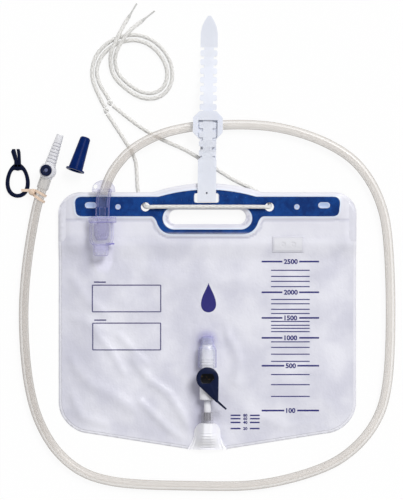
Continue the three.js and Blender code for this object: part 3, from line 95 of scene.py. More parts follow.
class Term:
    """A shader value. Arithmetic on it adds the Math nodes of the expression."""

    def __init__(self, finish, socket):
        self.finish = finish
        self.socket = socket

    def math(self, operation, *values):
        return self.finish.node("ShaderNodeMath", {"operation": operation}, dict(enumerate(values)))

    def larger(self, other):
        return self.math("MAXIMUM", self, other)

    def __add__(self, other):
        return self.math("ADD", self, other)

    def __radd__(self, other):
        return self.math("ADD", other, self)

    def __sub__(self, other):
        return self.math("SUBTRACT", self, other)

    def __rsub__(self, other):
        return self.math("SUBTRACT", other, self)

    def __mul__(self, other):
        return self.math("MULTIPLY", self, other)

    def __rmul__(self, other):
        return self.math("MULTIPLY", other, self)

    def __abs__(self):
        return self.math("ABSOLUTE", self)

    def sine(self):
        return self.math("SINE", self)

    def step(self, low, high):
        """0 below low, 1 above high and smooth between them; high may be the smaller one."""
        settings = {"interpolation_type": "SMOOTHSTEP"}
        inputs = {"Value": self, "From Min": low, "From Max": high}
        return self.finish.node("ShaderNodeMapRange", settings, inputs)


class Finish:
    """A material. Every node but the shader comes from node()."""

    def __init__(self, name, color, roughness, **constants):
        self.material = bpy.data.materials.new(name)
        self.material.use_nodes = True
        self.tree = self.material.node_tree
        self.shader = self.tree.nodes["Principled BSDF"]
        self.set("Base Color", color)
        self.set("Roughness", roughness)
        for socket, value in constants.items():
            self.set(socket.replace("_", " "), value)

    def feed(self, socket, value):
        if isinstance(value, Term):
            self.tree.links.new(value.socket, socket)
        else:
            socket.default_value = value

    def set(self, socket, value):
        self.feed(self.shader.inputs[socket], value)

    def node(self, kind, settings=None, inputs=None, out=0):
        made = self.tree.nodes.new(kind)
        for name, value in (settings or {}).items():
            setattr(made, name, value)
        for socket, value in (inputs or {}).items():
            self.feed(made.inputs[socket], value)
        return Term(self, made.outputs[out])

    def place(self):
        """The place on the piece, in metres."""
        return self.node("ShaderNodeTexCoord", out="Object")

    def axis(self, letter):
        return self.node("ShaderNodeSeparateXYZ", {}, {0: self.place()}, out=letter)

    def attribute(self, name):
        return self.node("ShaderNodeAttribute", {"attribute_name": name}, out="Fac")

    def noise(self, size_mm, detail=2.0, rough=0.5, stretch=None):
        """Noise from 0 to 1 with lumps of about the given size, longer along an axis if stretched."""
        place = self.place()
        if stretch:
            place = self.node("ShaderNodeMapping", {}, {"Vector": place, "Scale": stretch})
        inputs = {"Vector": place, "Scale": 1 / (size_mm * MM), "Detail": detail, "Roughness": rough}
        return self.node("ShaderNodeTexNoise", {}, inputs)

    def mix(self, share, low, high):
        """The colour low where share is 0 and high where it is 1."""
        return self.node("ShaderNodeMix", {"data_type": "RGBA"}, {0: share, 6: low, 7: high}, out=2)

    def bump(self, height, depth_mm, strength=1.0):
        inputs = {"Height": height, "Distance": depth_mm * MM, "Strength": strength}
        self.set("Normal", self.node("ShaderNodeBump", {}, inputs))


def smooth_route(route, step):
    """Points every step millimetres on a centripetal Catmull-Rom curve, and the curve's length in metres."""
    p = np.array(route, float)
    p = np.vstack([2 * p[0] - p[1], p, 2 * p[-1] - p[-2]])
    gap = np.sqrt(np.linalg.norm(np.diff(p, axis=0), axis=1))
    before, here, after = gap[:-2, None], gap[1:-1, None], gap[2:, None]
    p0, p1, p2, p3 = p[:-3], p[1:-2], p[2:-1], p[3:]
    leave = ((p1 - p0) / before - (p2 - p0) / (before + here) + (p2 - p1) / here) * here
    arrive = ((p2 - p1) / here - (p3 - p1) / (here + after) + (p3 - p2) / after) * here
    t = np.linspace(0, 1, 24, endpoint=False)[None, :, None]
    curve = (2 * t ** 3 - 3 * t ** 2 + 1) * p1[:, None] + (t ** 3 - 2 * t ** 2 + t) * leave[:, None]
    curve = curve + (3 * t ** 2 - 2 * t ** 3) * p2[:, None] + (t ** 3 - t ** 2) * arrive[:, None]
    curve = np.vstack([curve.reshape(-1, 3), p[-2]])
    along = np.concatenate([[0], np.cumsum(np.linalg.norm(np.diff(curve, axis=0), axis=1))])
    places = np.linspace(0, along[-1], int(round(along[-1] / step)) + 1)
    return np.stack([np.interp(places, along, curve[:, k]) for k in range(3)], axis=1), along[-1] * MM


def circle(count):
    """Angles spread evenly round a circle: 2 pi times the number over the count."""
    return np.arange(count) / count * 2 * np.pi


def rings_along(path, radius, sides):
    """Rings of points across a path: radius times cos along the level direction plus radius times sin
    along the upward one."""
    ahead = np.gradient(path, axis=0)
    ahead /= np.linalg.norm(ahead, axis=1, keepdims=True)
    level = np.cross(ahead, (0, 0, 1))
    level /= np.linalg.norm(level, axis=1, keepdims=True)
    up = np.cross(level, ahead)
    angle = circle(sides)
    radius = np.broadcast_to(radius, (len(path), sides))[..., None]
    around = np.cos(angle)[None, :, None] * level[:, None] + np.sin(angle)[None, :, None] * up[:, None]
    return path[:, None] + radius * around


def grid_faces(rows, columns, first=0, rows_close=False, columns_close=False):
    """The quads of a grid of points stored row after row, from point number first."""
    last_row, last_column = rows - (not rows_close), columns - (not columns_close)
    row, column = np.meshgrid(np.arange(last_row), np.arange(last_column), indexing="ij")
    next_row, next_column = (row + 1) % rows, (column + 1) % columns
    quads = [row * columns + column, row * columns + next_column]
    quads += [next_row * columns + next_column, next_row * columns + column]
    return np.stack(quads, axis=-1).reshape(-1, 4) + first


def end_caps(rows, sides):
    """The two faces that close a tube of rings: the first ring backwards and the last one."""
    return [list(range(sides))[::-1], list(range((rows - 1) * sides, rows * sides))]


def outward(points, faces):
    """The faces of one closed shell, turned so that its volume is positive."""
    corners = np.array([(f[0], f[i], f[i + 1]) for f in faces for i in range(1, len(f) - 1)])
    a, b, c = points[corners[:, 0], :3], points[corners[:, 1], :3], points[corners[:, 2], :3]
    inside_out = np.einsum("ij,ij->i", a, np.cross(b, c)).sum() < 0
    return [face[::-1] for face in faces] if inside_out else faces


def make_piece(name, points, faces, finish, slot, replaces=(), closed=True, body="bag", crease=40,
               values=None):
    """A mesh at the origin from points in millimetres. A closed one is turned so that its volume is
    positive. A fourth column of the points is kept as a value of painted shade, which darkens a clear
    plastic."""
    points = np.asarray(points, float)
    points = points.reshape(-1, points.shape[-1])
    values = dict(values or {})
    if points.shape[1] == 4:
        values["edge_shade"] = points[:, 3]
    points = points[:, :3] * MM
    faces = [list(face) for face in faces]
    if closed:
        faces = outward(points, faces)
    mesh = bpy.data.meshes.new(name)
    mesh.from_pydata(points.tolist(), [], faces)
    mesh.shade_smooth()
    mesh.set_sharp_from_angle(angle=np.radians(crease))
    for value_name, value in values.items():
        layer = mesh.attributes.new(value_name, "FLOAT", "POINT")
        layer.data.foreach_set("value", np.asarray(value, np.float32).reshape(-1))
    mesh.materials.append(finish.material)
    made = bpy.data.objects.new(name, mesh)
    bpy.context.scene.collection.objects.link(made)
    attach(made, body)
    if replaces:
        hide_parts(*replaces)
    return made


def solid_tube(path, radius, sides, bore=None):
    """Points and faces of a tube along a path, with flat ends, or with a bore of the given radius."""
    outer = rings_along(path, radius, sides)
    rows = len(path)
    if bore is None:
        faces = grid_faces(rows, sides, columns_close=True).tolist()
        faces += end_caps(rows, sides)
        return outer.reshape(-1, 3), faces
    inner = rings_along(path, bore, sides)
    wall = np.vstack([outer, inner[::-1]])
    return wall.reshape(-1, 3), grid_faces(2 * rows, sides, rows_close=True, columns_close=True).tolist()


tube_finish = Finish("clear_tube", tint(236, 230, 224), 0.2, IOR=1.45, Specular_IOR_Level=0.4)
lateral, outside = tube_finish.attribute("lateral"), tube_finish.attribute("outside")
# Painted shade and a painted highlight: seen from above, the tube's sides are painted darker and a stripe
# beside the top of its outer wall is painted near white.
rim_shade = abs(lateral).step(0.74, 0.98)
painted_highlight = lateral.step(-0.66, -0.46) * lateral.step(-0.14, -0.34)
# Painted shade: the tube is painted darker along its left and lower runs and where it rises to the inlet.
left_run_shade = tube_finish.axis("X").step(-140 * MM, -185 * MM)
lower_run_shade = tube_finish.axis("Y").step(-190 * MM, -262 * MM)
raised_shade = tube_finish.axis("Z").step(11.5 * MM, 16.5 * MM)
tube_color = tube_finish.mix(0.35 * lower_run_shade, tint(238, 232, 226), tint(204, 196, 189))
tube_color = tube_finish.mix(0.85 * left_run_shade, tube_color, tint(188, 179, 171))
tube_color = tube_finish.mix(0.55 * raised_shade, tube_color, tint(178, 169, 160))
tube_color = tube_finish.mix(rim_shade, tube_color, tint(182, 174, 166))
tube_finish.set("Base Color", tube_finish.mix(0.8 * painted_highlight * outside, tube_color, tint(254, 252, 250)))
tube_alpha = 0.14 + outside * (0.2 + 0.3 * rim_shade + 0.3 * painted_highlight) + 0.08 * tube_finish.noise(60)
tube_finish.set("Alpha", tube_alpha * (1 - 0.975 * tube_finish.attribute("sunk")))
tube_path, tube_length = smooth_route(TUBE_ROUTE, 2.5)
tube_points, tube_faces = solid_tube(tube_path, TUBE_RADIUS, TUBE_SIDES, TUBE_BORE)
rows, angle = len(tube_path), circle(TUBE_SIDES)
sunk = np.clip((SOCKET_MOUTH + 4 - tube_path[:, 1]) / 8, 0, 1)
sunk = sunk * (tube_path[:, 0] < -95) * (np.arange(rows) < 20)
tube_values = {"lateral": np.tile(np.cos(angle), 2 * rows), "outside": np.repeat([1, 0], rows * TUBE_SIDES),
               "sunk": np.repeat(np.concatenate([sunk, sunk[::-1]]), TUBE_SIDES)}
drain_tube = make_piece("drain_tube_wall", tube_points, tube_faces, tube_finish, "clear_tube",
                        ["drain_tube"], values=tube_values)


# Hanging cord: white braided polyester, 4.2 mm thick. One loop goes through the header's two cord
# holes, each leg ends in a knot, and the two tying ends are laid in one round and crossed.
CORD_RADIUS = 2.1
BRAID_STRANDS = 4
BRAID_PITCH = 7.0
BRAID_RELIEF = 0.12
CORD_STEP = 0.6
SOFT_DEPTH = 2 * MM
LOOP_ROUTE = [
    (-104.9, 124.6, 2.15), (-95.8, 110.9, 2.15), (-86.5, 96.6, 2.15), (-79.2, 84.5, 2.15),
    (-75.2, 74.0, 2.15), (-73.9, 59.9, 2.2), (-73.1, 46.2, 2.3), (-71.5, 39.5, 2.3),
    (-68.8, 33.4, 2.5), (-66.5, 29.5, 3.9), (-65.3, 27.7, 6.5), (-63.9, 27.0, 8.9),
    (-60.6, 27.0, 10.3), (-54.0, 27.2, 10.45), (-30.0, 27.3, 10.45), (0.0, 27.3, 10.45),
    (30.0, 27.3, 10.45), (54.0, 27.2, 10.45), (60.6, 27.0, 10.3), (63.9, 27.0, 8.9),
    (65.3, 27.6, 6.5), (65.3, 29.7, 3.9), (63.5, 33.4, 2.5), (60.0, 37.6, 2.3),
    (54.7, 41.5, 2.3), (46.8, 46.3, 2.3), (26.9, 56.1, 2.15),
    (3.8, 70.4, 2.15), (-22.5, 86.5, 2.15), (-48.7, 98.5, 2.15), (-69.7, 110.7, 2.15),
    (-90.2, 126.2, 2.15), (-99.2, 133.6, 2.15),
]
LEFT_TIE_ROUTE = [
    (-107.5, 131.7, 2.15), (-111.2, 138.6, 2.15), (-115.7, 148.1, 2.15), (-119.5, 157.5, 2.15),
    (-121.0, 167.0, 2.15), (-120.1, 175.9, 2.15), (-116.8, 185.3, 2.15), (-110.7, 193.7, 2.15),
    (-102.8, 200.3, 2.15), (-93.3, 205.0, 2.15), (-82.8, 207.3, 2.15), (-72.3, 207.3, 2.15),
    (-61.8, 204.1, 2.15), (-52.4, 198.0, 2.15), (-44.5, 189.5, 2.15), (-39.3, 180.1, 2.15),
    (-36.9, 169.6, 2.15), (-37.6, 158.6, 2.15), (-42.1, 149.3, 2.15), (-49.8, 143.0, 2.15),
    (-59.2, 140.7, 2.15), (-69.7, 142.0, 2.15), (-79.7, 147.0, 2.15), (-88.8, 154.1, 2.15),
    (-96.5, 162.2, 2.15), (-100.4, 170.6, 2.4), (-101.6, 180.1, 4.4), (-100.6, 189.5, 6.6),
    (-97.0, 197.9, 6.95), (-92.6, 207.4, 6.7), (-88.1, 216.8, 3.9), (-83.2, 225.2, 2.2),
]
RIGHT_TIE_ROUTE = [
    (-103.1, 139.8, 2.15), (-106.5, 145.4, 2.15), (-110.8, 152.2, 2.15), (-114.2, 159.6, 2.15),
    (-115.9, 167.5, 2.15), (-115.1, 174.8, 2.15), (-112.1, 182.7, 2.15), (-106.9, 189.8, 2.15),
    (-100.0, 195.4, 2.15), (-91.8, 199.5, 2.15), (-82.5, 201.6, 2.15), (-73.4, 201.6, 2.15),
    (-64.5, 198.9, 2.15), (-56.3, 193.5, 2.15), (-49.5, 186.2, 2.15), (-44.7, 177.8, 2.15),
    (-42.4, 168.7, 2.15), (-43.1, 159.9, 2.15), (-46.4, 153.1, 2.15), (-52.3, 148.4, 2.15),
    (-59.6, 146.6, 2.15), (-68.0, 147.6, 2.15), (-76.8, 151.9, 2.15), (-85.2, 158.3, 2.15),
    (-92.2, 165.7, 2.15), (-95.5, 172.7, 2.4), (-96.6, 180.4, 4.1), (-95.7, 188.0, 6.0),
    (-92.4, 195.3, 6.9), (-88.2, 202.1, 6.95), (-83.2, 209.2, 6.8), (-76.4, 216.1, 4.3),
    (-69.3, 221.8, 2.2),
]

cord_finish = Finish("braided_cord", tint(240, 240, 240), 0.85, Sheen_Weight=0.25, Subsurface_Weight=0.6,
                     Subsurface_Radius=(1, 1, 1), Subsurface_Scale=SOFT_DEPTH)
# Painted shade: the braid's grooves are painted darker than its strands.
groove_shade = cord_finish.attribute("relief")
fluff = cord_finish.noise(1.2, 3)
cord_color = cord_finish.mix(groove_shade, tint(208, 207, 204), tint(237, 236, 234))
cord_finish.set("Base Color", cord_finish.mix(0.2 * fluff, cord_color, tint(222, 221, 218)))
cord_finish.bump(cord_finish.noise(0.35, 2), 0.12, 0.5)


def braid(path, step, sides=20):
    """How far the braid stands out, from 0 to 1: the squared cosines of two sets of strands that wind
    opposite ways, the larger one taken, with each set raised where it passes over the other."""
    along = np.arange(len(path))[:, None] * step / BRAID_PITCH
    around = np.arange(sides)[None, :] / sides * BRAID_STRANDS
    right, left = np.cos(np.pi * (around + along)), np.cos(np.pi * (around - along))
    return np.maximum(right ** 2 * (0.72 + 0.28 * left), left ** 2 * (0.72 - 0.28 * right))


def cord_piece(name, route, replaces):
    """A braided cord along a route: the cord's radius less the braid's grooves."""
    path, length = smooth_route(route, CORD_STEP)
    relief = braid(path, CORD_STEP)
    points, faces = solid_tube(path, CORD_RADIUS - BRAID_RELIEF * (1 - relief), relief.shape[1])
    made = make_piece(name, points, faces, cord_finish, "cord_white", replaces, crease=180,
                      values={"relief": relief})
    return made, path, length


cord_loop, loop_path, loop_length = cord_piece("hanging_cord_loop", LOOP_ROUTE, ["cord_loop"])
tie_left, tie_left_path, tie_left_length = cord_piece(
    "hanging_cord_tie_left", LEFT_TIE_ROUTE, ["cord_tie_left"])
tie_right, tie_right_path, tie_right_length = cord_piece(
    "hanging_cord_tie_right", RIGHT_TIE_ROUTE, ["cord_tie_right"])

# Knots: each leg of the loop is tied to its tying end. The strand follows a trefoil, (sin t + 2 sin 2t,
# cos t - 2 cos 2t, -1.3 sin 3t), turned level and drawn out to the box of its CAD node.
KNOT_STRAND = 1.25
KNOT_SIDES = 14
KNOT_TURN = {"cord_knot_left": 1.95, "cord_knot_right": 2.4}

for node, turn in KNOT_TURN.items():
    low, high = [np.array(corner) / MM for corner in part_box(node)]
    t = np.linspace(0, 2 * np.pi, 72, endpoint=False)
    winding = [np.sin(t) + 2 * np.sin(2 * t), np.cos(t) - 2 * np.cos(2 * t), -1.3 * np.sin(3 * t)]
    winding = np.stack(winding, axis=1) / 3
    reach = (high - low) / 2 - KNOT_STRAND
    spin = np.array([[np.cos(turn), -np.sin(turn), 0], [np.sin(turn), np.cos(turn), 0], [0, 0, 1]])
    path = (low + high) / 2 + winding @ spin.T * reach * (1, 1, 1.6)
    ahead = np.roll(path, -1, axis=0) - np.roll(path, 1, axis=0)
    ahead /= np.linalg.norm(ahead, axis=1, keepdims=True)
    side = np.cross(ahead, (0, 0, 1))
    side /= np.linalg.norm(side, axis=1, keepdims=True)
    angle = circle(KNOT_SIDES)[None, :, None]
    across = np.cos(angle) * side[:, None] + np.sin(angle) * np.cross(side, ahead)[:, None]
    points = path[:, None] + KNOT_STRAND * across
    faces = grid_faces(len(path), KNOT_SIDES, rows_close=True, columns_close=True).tolist()
    make_piece(f"{node}_tied", points, faces, cord_finish, "cord_white", [node], crease=180,
                            values={"relief": np.full(points.shape[:2], 0.55)})

# Cord tips: each tying end is dipped and drawn out into a thin stiff point. The tips keep the shape of
# their CAD nodes and only get a finish.


def mottled(name, color, roughness, size_mm, low, high, detail=2.0, **constants):
    """A finish whose colour wanders between two tints in patches of about the given size."""
    finish = Finish(name, color, roughness, **constants)
    finish.set("Base Color", finish.mix(finish.noise(size_mm, detail), low, high))
    return finish


tip_finish = mottled("cord_tip", tint(196, 196, 194), 0.5, 2.5, tint(172, 172, 170), tint(224, 224, 222))
tip_finish.bump(tip_finish.noise(0.8), 0.15)


def dress(node, finish):
    """Gives a CAD node its finish."""
    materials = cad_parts[node].data.materials
    materials.clear()
    materials.append(finish.material)
    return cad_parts[node]


tip_left = dress("cord_tip_left", tip_finish)
tip_right = dress("cord_tip_right", tip_finish)

# Bag films: two clear PVC sheets, 0.4 mm each, welded together round the edge and round the hand
# grip. The back one lies on the table and rises under the header, the front one covers the plate.
HALF_WIDTH = 156
FILM = 0.4
WELD = 4
HEADER_TOP = 42.5
HUMP_RISE = 9.5
HUMP_HALF = 57.5
SHOULDER_START = 133
SHOULDER_RADIUS = 23
FOOT_Y = -226.8
FOOT_LEVEL_HALF = 19.5
FOOT_SLOPE = 0.157
CORNER_START = 118
CORNER_WIDE = 38
CORNER_TALL = 33.84
CORNER_Y = -177.5
HEADER_LIFT = 5
LIFT_START = -30
LIFT_RUN = 26
PLATE_ROOM = 1.9
POUCH_ROOM = 3
FILM_GAP = 0.3
DRAPE = 1.4
INLET_X = -109.3
GRIP_HOLE = (0, 16.8, 40.3, 7.6, 7.6)
STRAP_HOLE = (-0.95, 36.5, 12.3, 5, 2.2)
CORD_HOLES = [(-64.8, 27.2, 4.8, 4.8, 4.8), (64.8, 27.2, 4.8, 4.8, 4.8)]
CLOSED_HOLES = [(side * x, y, half, tall, tall) for side in (-1, 1)
                for x, y, half, tall in ((122.0, 28.9, 6.3, 3.2), (93.5, 27.2, 3, 3))]
FILM_PITCH = 2.0
PLATE_END = 137
SEAL_Y = 13.1
SEAL_GAP = 4.3
WRINKLES = [
    (((-77, -133), (-60, -155), (-40, -169), (-20, -201)), 5.0, 0.8),
    (((-147, -130), (-123, -158), (-100, -169), (-78, -184)), 6.5, 0.7),
    (((-116, -105), (-100, -125), (-88, -146)), 4.5, 0.55),
    (((-92, -108), (-76, -125), (-64, -136)), 4.5, 0.55),
    (((-70, -177), (-45, -201), (-29, -217)), 4.5, 0.75),
    (((-142, -172), (-131, -194), (-108, -202)), 5.5, 0.6),
    (((-150, -88), (-130, -92), (-112, -100)), 5.5, 0.45),
    (((-142, -48), (-126, -70), (-108, -84)), 6.0, 0.5),
    (((16, -102), (27, -118), (33, -134), (30, -156)), 5.5, 0.7),
    (((107, -6), (134, 1), (149, 2)), 5.5, 0.5),
    (((-60, -40), (-20, -52), (30, -50)), 9.0, 0.4),
    (((40, -186), (82, -204), (112, -202)), 6.0, 0.35),
]


def smooth(t):
    """A smooth step: 3 t squared less 2 t cubed, with t held between 0 and 1."""
    t = np.clip(t, 0, 1)
    return t * t * (3 - 2 * t)


def top_edge(x):
    """The bag's upper edge: level, with a low parabola in the middle and round shoulders."""
    hump = HEADER_TOP + HUMP_RISE * np.maximum(0, 1 - (x / HUMP_HALF) ** 2)
    run = np.clip(np.abs(x) - SHOULDER_START, 0, SHOULDER_RADIUS)
    shoulder = HEADER_TOP - SHOULDER_RADIUS + np.sqrt(SHOULDER_RADIUS ** 2 - run ** 2)
    return np.where(np.abs(x) > SHOULDER_START, shoulder, hump)


def foot_edge(x):
    """The bag's lower edge: it rises from the spout to the sides and ends in elliptic corners."""
    reach = np.minimum(np.abs(x), HALF_WIDTH)
    slope = FOOT_Y + FOOT_SLOPE * np.maximum(0, reach - FOOT_LEVEL_HALF)
    corner = CORNER_Y - CORNER_TALL * np.sqrt(1 - np.clip((reach - CORNER_START) / CORNER_WIDE, 0, 1) ** 2)
    return np.where(reach < CORNER_START, slope, np.maximum(slope, corner))


def back_height(x, y):
    """Top of the back film: on the table below, and 5 mm up under the header."""
    return HEADER_LIFT * smooth((y - LIFT_START) / LIFT_RUN) + FILM


def flat_front_height(x, y):
    """Top of the front film without its wrinkles: room for the plate above and a low pouch below."""
    side, top, foot = HALF_WIDTH - WELD - np.abs(x), top_edge(x) - y, y - foot_edge(x) - WELD
    plate_room = PLATE_ROOM * smooth(side / 9) * smooth(top / 3.5)
    pouch_room = POUCH_ROOM * smooth(np.minimum(side, foot) / 38)
    room = plate_room + (pouch_room - plate_room) * smooth((-4 - y) / 20)
    return back_height(x, y) + FILM_GAP + room + FILM


def segment_gaps(x, y, starts, ends):
    """Distance from every point to every straight piece, one column for each piece."""
    run = ends - starts
    away = np.stack([x, y], axis=1)[:, None] - starts
    share = np.clip((away * run).sum(2) / np.maximum((run ** 2).sum(1), 1e-9), 0, 1)
    return np.linalg.norm(away - share[..., None] * run, axis=2)


def film_wrinkles(x, y):
    """Soft folds: a bell-shaped ridge round each line, on faint slanting waves, and none under the
    fittings."""
    rise = np.zeros(len(x))
    for line, width, height in WRINKLES:
        line = np.array(line, float)
        gap = segment_gaps(x, y, line[:-1], line[1:]).min(1)
        rise += 2.3 * height * np.exp(-(gap / width) ** 2)
    slant = 0.78 * x + 0.62 * y
    rise += 0.3 * np.sin(slant / 7.5 + 1.7 * np.sin(y / 41) + x / 90) * smooth((40 - x) / 120)
    rise += 0.2 * np.sin((0.35 * x - y) / 13 + 1.3 * np.sin(x / 33))
    to_weld = np.minimum(HALF_WIDTH - WELD - np.abs(x), y - foot_edge(x) - WELD)
    free = smooth(to_weld / 14) * smooth((-8 - y) / 18)
    tap = smooth((np.hypot(np.maximum(np.abs(x) - 14, 0), np.maximum(y + 100, 0)) - 1) / 8)
    inlet = smooth((np.hypot(np.maximum(np.abs(x - INLET_X) - 13, 0), np.maximum(-24 - y, 0)) - 1) / 8)
    return rise * free * tap * inlet


def resampled(points, step):
    """Points every step millimetres round a closed outline, starting with the first."""
    closed = np.vstack([points, points[:1]])
    along = np.concatenate([[0], np.cumsum(np.linalg.norm(np.diff(closed, axis=0), axis=1))])
    places = np.linspace(0, along[-1], max(12, int(along[-1] / step)), endpoint=False)
    return np.stack([np.interp(places, along, closed[:, k]) for k in (0, 1)], axis=1)


def hole_outline(hole):
    """A rectangle with round corners, from its centre, its half sizes and its corner radius."""
    x, y, half_x, half_y, corner = hole
    angle = (np.arange(32) + 0.5) / 32 * 2 * np.pi
    return np.stack([x + np.sign(np.cos(angle)) * (half_x - corner) + corner * np.cos(angle),
                     y + np.sign(np.sin(angle)) * (half_y - corner) + corner * np.sin(angle)], axis=1)


def hole_gap(x, y, hole):
    """How far a point stands outside a hole; negative inside it."""
    aside = np.abs(x - hole[0]) - hole[2] + hole[4]
    above = np.abs(y - hole[1]) - hole[3] + hole[4]
    outside = np.hypot(np.maximum(aside, 0), np.maximum(above, 0))
    return outside + np.minimum(np.maximum(aside, above), 0) - hole[4]


def row_between(start, radius, corner_steps, steps):
    """Places from one side to the other: even between -start and start, and start + radius sin t beyond."""
    corner = np.sin(np.linspace(np.pi / 2, 0, corner_steps))
    return np.concatenate([-start - radius * corner, np.linspace(-start, start, steps)[1:-1],
                           start + radius * np.sin(np.linspace(0, np.pi / 2, corner_steps))])


across = row_between(CORNER_START, CORNER_WIDE, 24, 96)
upper = -row_between(SHOULDER_START, SHOULDER_RADIUS, 20, 110)
bag_outline = np.vstack([np.stack([across, foot_edge(across)], axis=1),
                         np.stack([upper, top_edge(upper)], axis=1)])


def film_plan(holes, pitch):
    """Points and triangles of a flat film: its outline, its holes and a hexagonal filling, triangulated."""
    loops = [resampled(bag_outline, pitch)]
    loops += [resampled(hole_outline(hole), min(pitch, 1.8)) for hole in holes]
    grid_x, grid_y = np.meshgrid(np.arange(-HALF_WIDTH, HALF_WIDTH, pitch),
                                 np.arange(-228, 54, pitch * 0.87))
    grid_x[1::2] += pitch / 2
    x, y = grid_x.ravel(), grid_y.ravel()
    inside = np.minimum(np.minimum(HALF_WIDTH - np.abs(x), top_edge(x) - y), y - foot_edge(x)) > pitch * 0.2
    x, y = x[inside], y[inside]
    gap = segment_gaps(x, y, loops[0], np.roll(loops[0], -1, axis=0)).min(1)
    keep = gap > pitch * 0.55
    for hole in holes:
        keep &= hole_gap(x, y, hole) > pitch * 0.5
    plan = np.vstack(loops + [np.stack([x[keep], y[keep]], axis=1)])
    edges, first = [], 0
    for loop in loops:
        count = len(loop)
        edges += [(first + i, first + (i + 1) % count) for i in range(count)]
        first += count
    plan_points, _, triangles, *_ = delaunay_2d_cdt(plan.tolist(), edges, [], 1, 1e-5)
    plan, triangles = np.array([tuple(point) for point in plan_points]), np.array(triangles)
    middle = plan[triangles].mean(1)
    solid = np.ones(len(triangles), bool)
    for hole in holes:
        solid &= hole_gap(middle[:, 0], middle[:, 1], hole) > 0
    return plan[:, 0], plan[:, 1], triangles[solid]


def edge_gap(x, y):
    """How far a point lies from the bag's outline."""
    return segment_gaps(x, y, bag_outline, np.roll(bag_outline, -1, axis=0)).min(1)


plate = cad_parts["stiffener_plate"].data
walls = [face for face in plate.polygons if abs(face.normal.z) < 0.5]
wall_corners = np.array([plate.vertices[i].co[:] for face in walls for i in face.vertices])
wall_corners = wall_corners.reshape(-1, 3, 3)[..., :2] / MM
wall_normals = np.array([face.normal[:2] for face in walls])


def plate_gap(x, y):
    """How far a point stands outside the plate's own edges, holes among them; negative over the plate."""
    sides = [np.linalg.norm(wall_corners[:, a] - wall_corners[:, b], axis=1)
             for a, b in ((0, 1), (1, 2), (2, 0))]
    longest = np.argmax(sides, axis=0)
    starts = wall_corners[np.arange(len(longest)), longest]
    ends = wall_corners[np.arange(len(longest)), (longest + 1) % 3]
    near = y > -14
    gaps = segment_gaps(x[near], y[near], starts, ends)
    nearest = gaps.argmin(1)
    beyond = ((np.stack([x[near], y[near]], axis=1) - starts[nearest]) * wall_normals[nearest]).sum(1)
    signed = np.full(len(x), 20.0)
    signed[near] = gaps.min(1) * np.where(beyond < 0, -1, 1)
    return signed


def front_height(x, y):
    """Top of the front film: over the plate, drawn down beside it, and wrinkled on the pouch."""
    drape = DRAPE * smooth((plate_gap(x, y) - 0.2) / 4) * smooth((y + 14) / 10)
    return flat_front_height(x, y) - drape * smooth((top_edge(x) - y) / 3.5) + film_wrinkles(x, y)


def solid_film(made):
    """Gives a film its thickness, below the surface that was drawn."""
    wall = made.modifiers.new("thickness", "SOLIDIFY")
    wall.thickness = FILM * MM
    wall.offset = -1
    return made


back_finish = mottled("film_back", tint(222, 222, 233), 0.32, 55, tint(228, 228, 240), tint(238, 238, 246),
                      Coat_Weight=0.2)
back_finish.set("Alpha", 0.9)
back_finish.bump(back_finish.noise(9, 2), 0.4)
x, y, triangles = film_plan([GRIP_HOLE, STRAP_HOLE, *CORD_HOLES], 4.0)
solid_film(make_piece("film_back_sheet", np.stack([x, y, back_height(x, y)], axis=1), triangles,
                      back_finish, "film_back", ["back_film"], closed=False))

front_finish = Finish("film_front", tint(228, 228, 240), 0.3, Specular_IOR_Level=0.4)
edge, rim = front_finish.attribute("edge"), front_finish.attribute("rim")
seal, painted_shadow = front_finish.attribute("seal"), front_finish.attribute("painted_shadow")
header = front_finish.axis("Y").step(-8 * MM, 2 * MM)
weld = edge.step(3.4, 2.8)
# Painted highlight: a thin ring just outside the plate's edges is painted light blue.
painted_glow = rim.step(-0.2, 0.4) * rim.step(1.9, 0.8) * header
over_plate = rim.step(0.4, -0.2) * header
cloud_share = front_finish.noise(36, 3).step(0.3, 0.7)
cloud = front_finish.mix(cloud_share, tint(219, 219, 232), tint(239, 239, 248))
# Painted shadow round the tap and below the chamber.
cloud = front_finish.mix(0.7 * painted_shadow, cloud, tint(186, 185, 207))
# Painted shade: the film is painted darker towards its left side, away from the lamp.
cloud = front_finish.mix(0.3 * front_finish.axis("X").step(-105 * MM, -146 * MM), cloud, tint(190, 190, 206))
cloud = front_finish.mix(0.85 * front_finish.attribute("sleeve"), cloud, tint(240, 239, 254))
cloud = front_finish.mix(0.5 * header, cloud, tint(242, 242, 250))
cloud = front_finish.mix(0.6 * weld, cloud, tint(244, 244, 251))
cloud = front_finish.mix(0.6 * seal, cloud, tint(182, 182, 204))
# Painted reflection: the film over the plate's slots and round holes is painted light blue.
cloud = front_finish.mix(0.9 * front_finish.attribute("slot"), cloud, tint(178, 198, 236))
painted_glow_share = 0.85 * painted_glow * (1 - front_finish.attribute("slot"))
front_finish.set("Base Color", front_finish.mix(painted_glow_share, cloud, tint(222, 236, 255)))
front_finish.set("Alpha", 0.93 * (1 - 0.996 * over_plate))
creases = front_finish.noise(7, 2, 0.5, (1.0, 0.55, 1.0)) + 0.5 * front_finish.noise(2.4, 1)
front_finish.bump(creases * (1 - 0.6 * header) - 1.2 * edge.step(3.4, 2.6) - 0.8 * seal, 0.35)


def seal_share(x, y):
    """1 on the weld line: 4.3 mm below the plate's edge, and level from its ends to the side welds."""
    aside = np.abs(x) > PLATE_END
    gap = np.where(aside, np.abs(y - SEAL_Y), np.abs(plate_gap(x, y) - SEAL_GAP))
    return smooth(1.5 - gap / 0.9) * (y < 18) * (np.abs(x) < HALF_WIDTH - WELD)


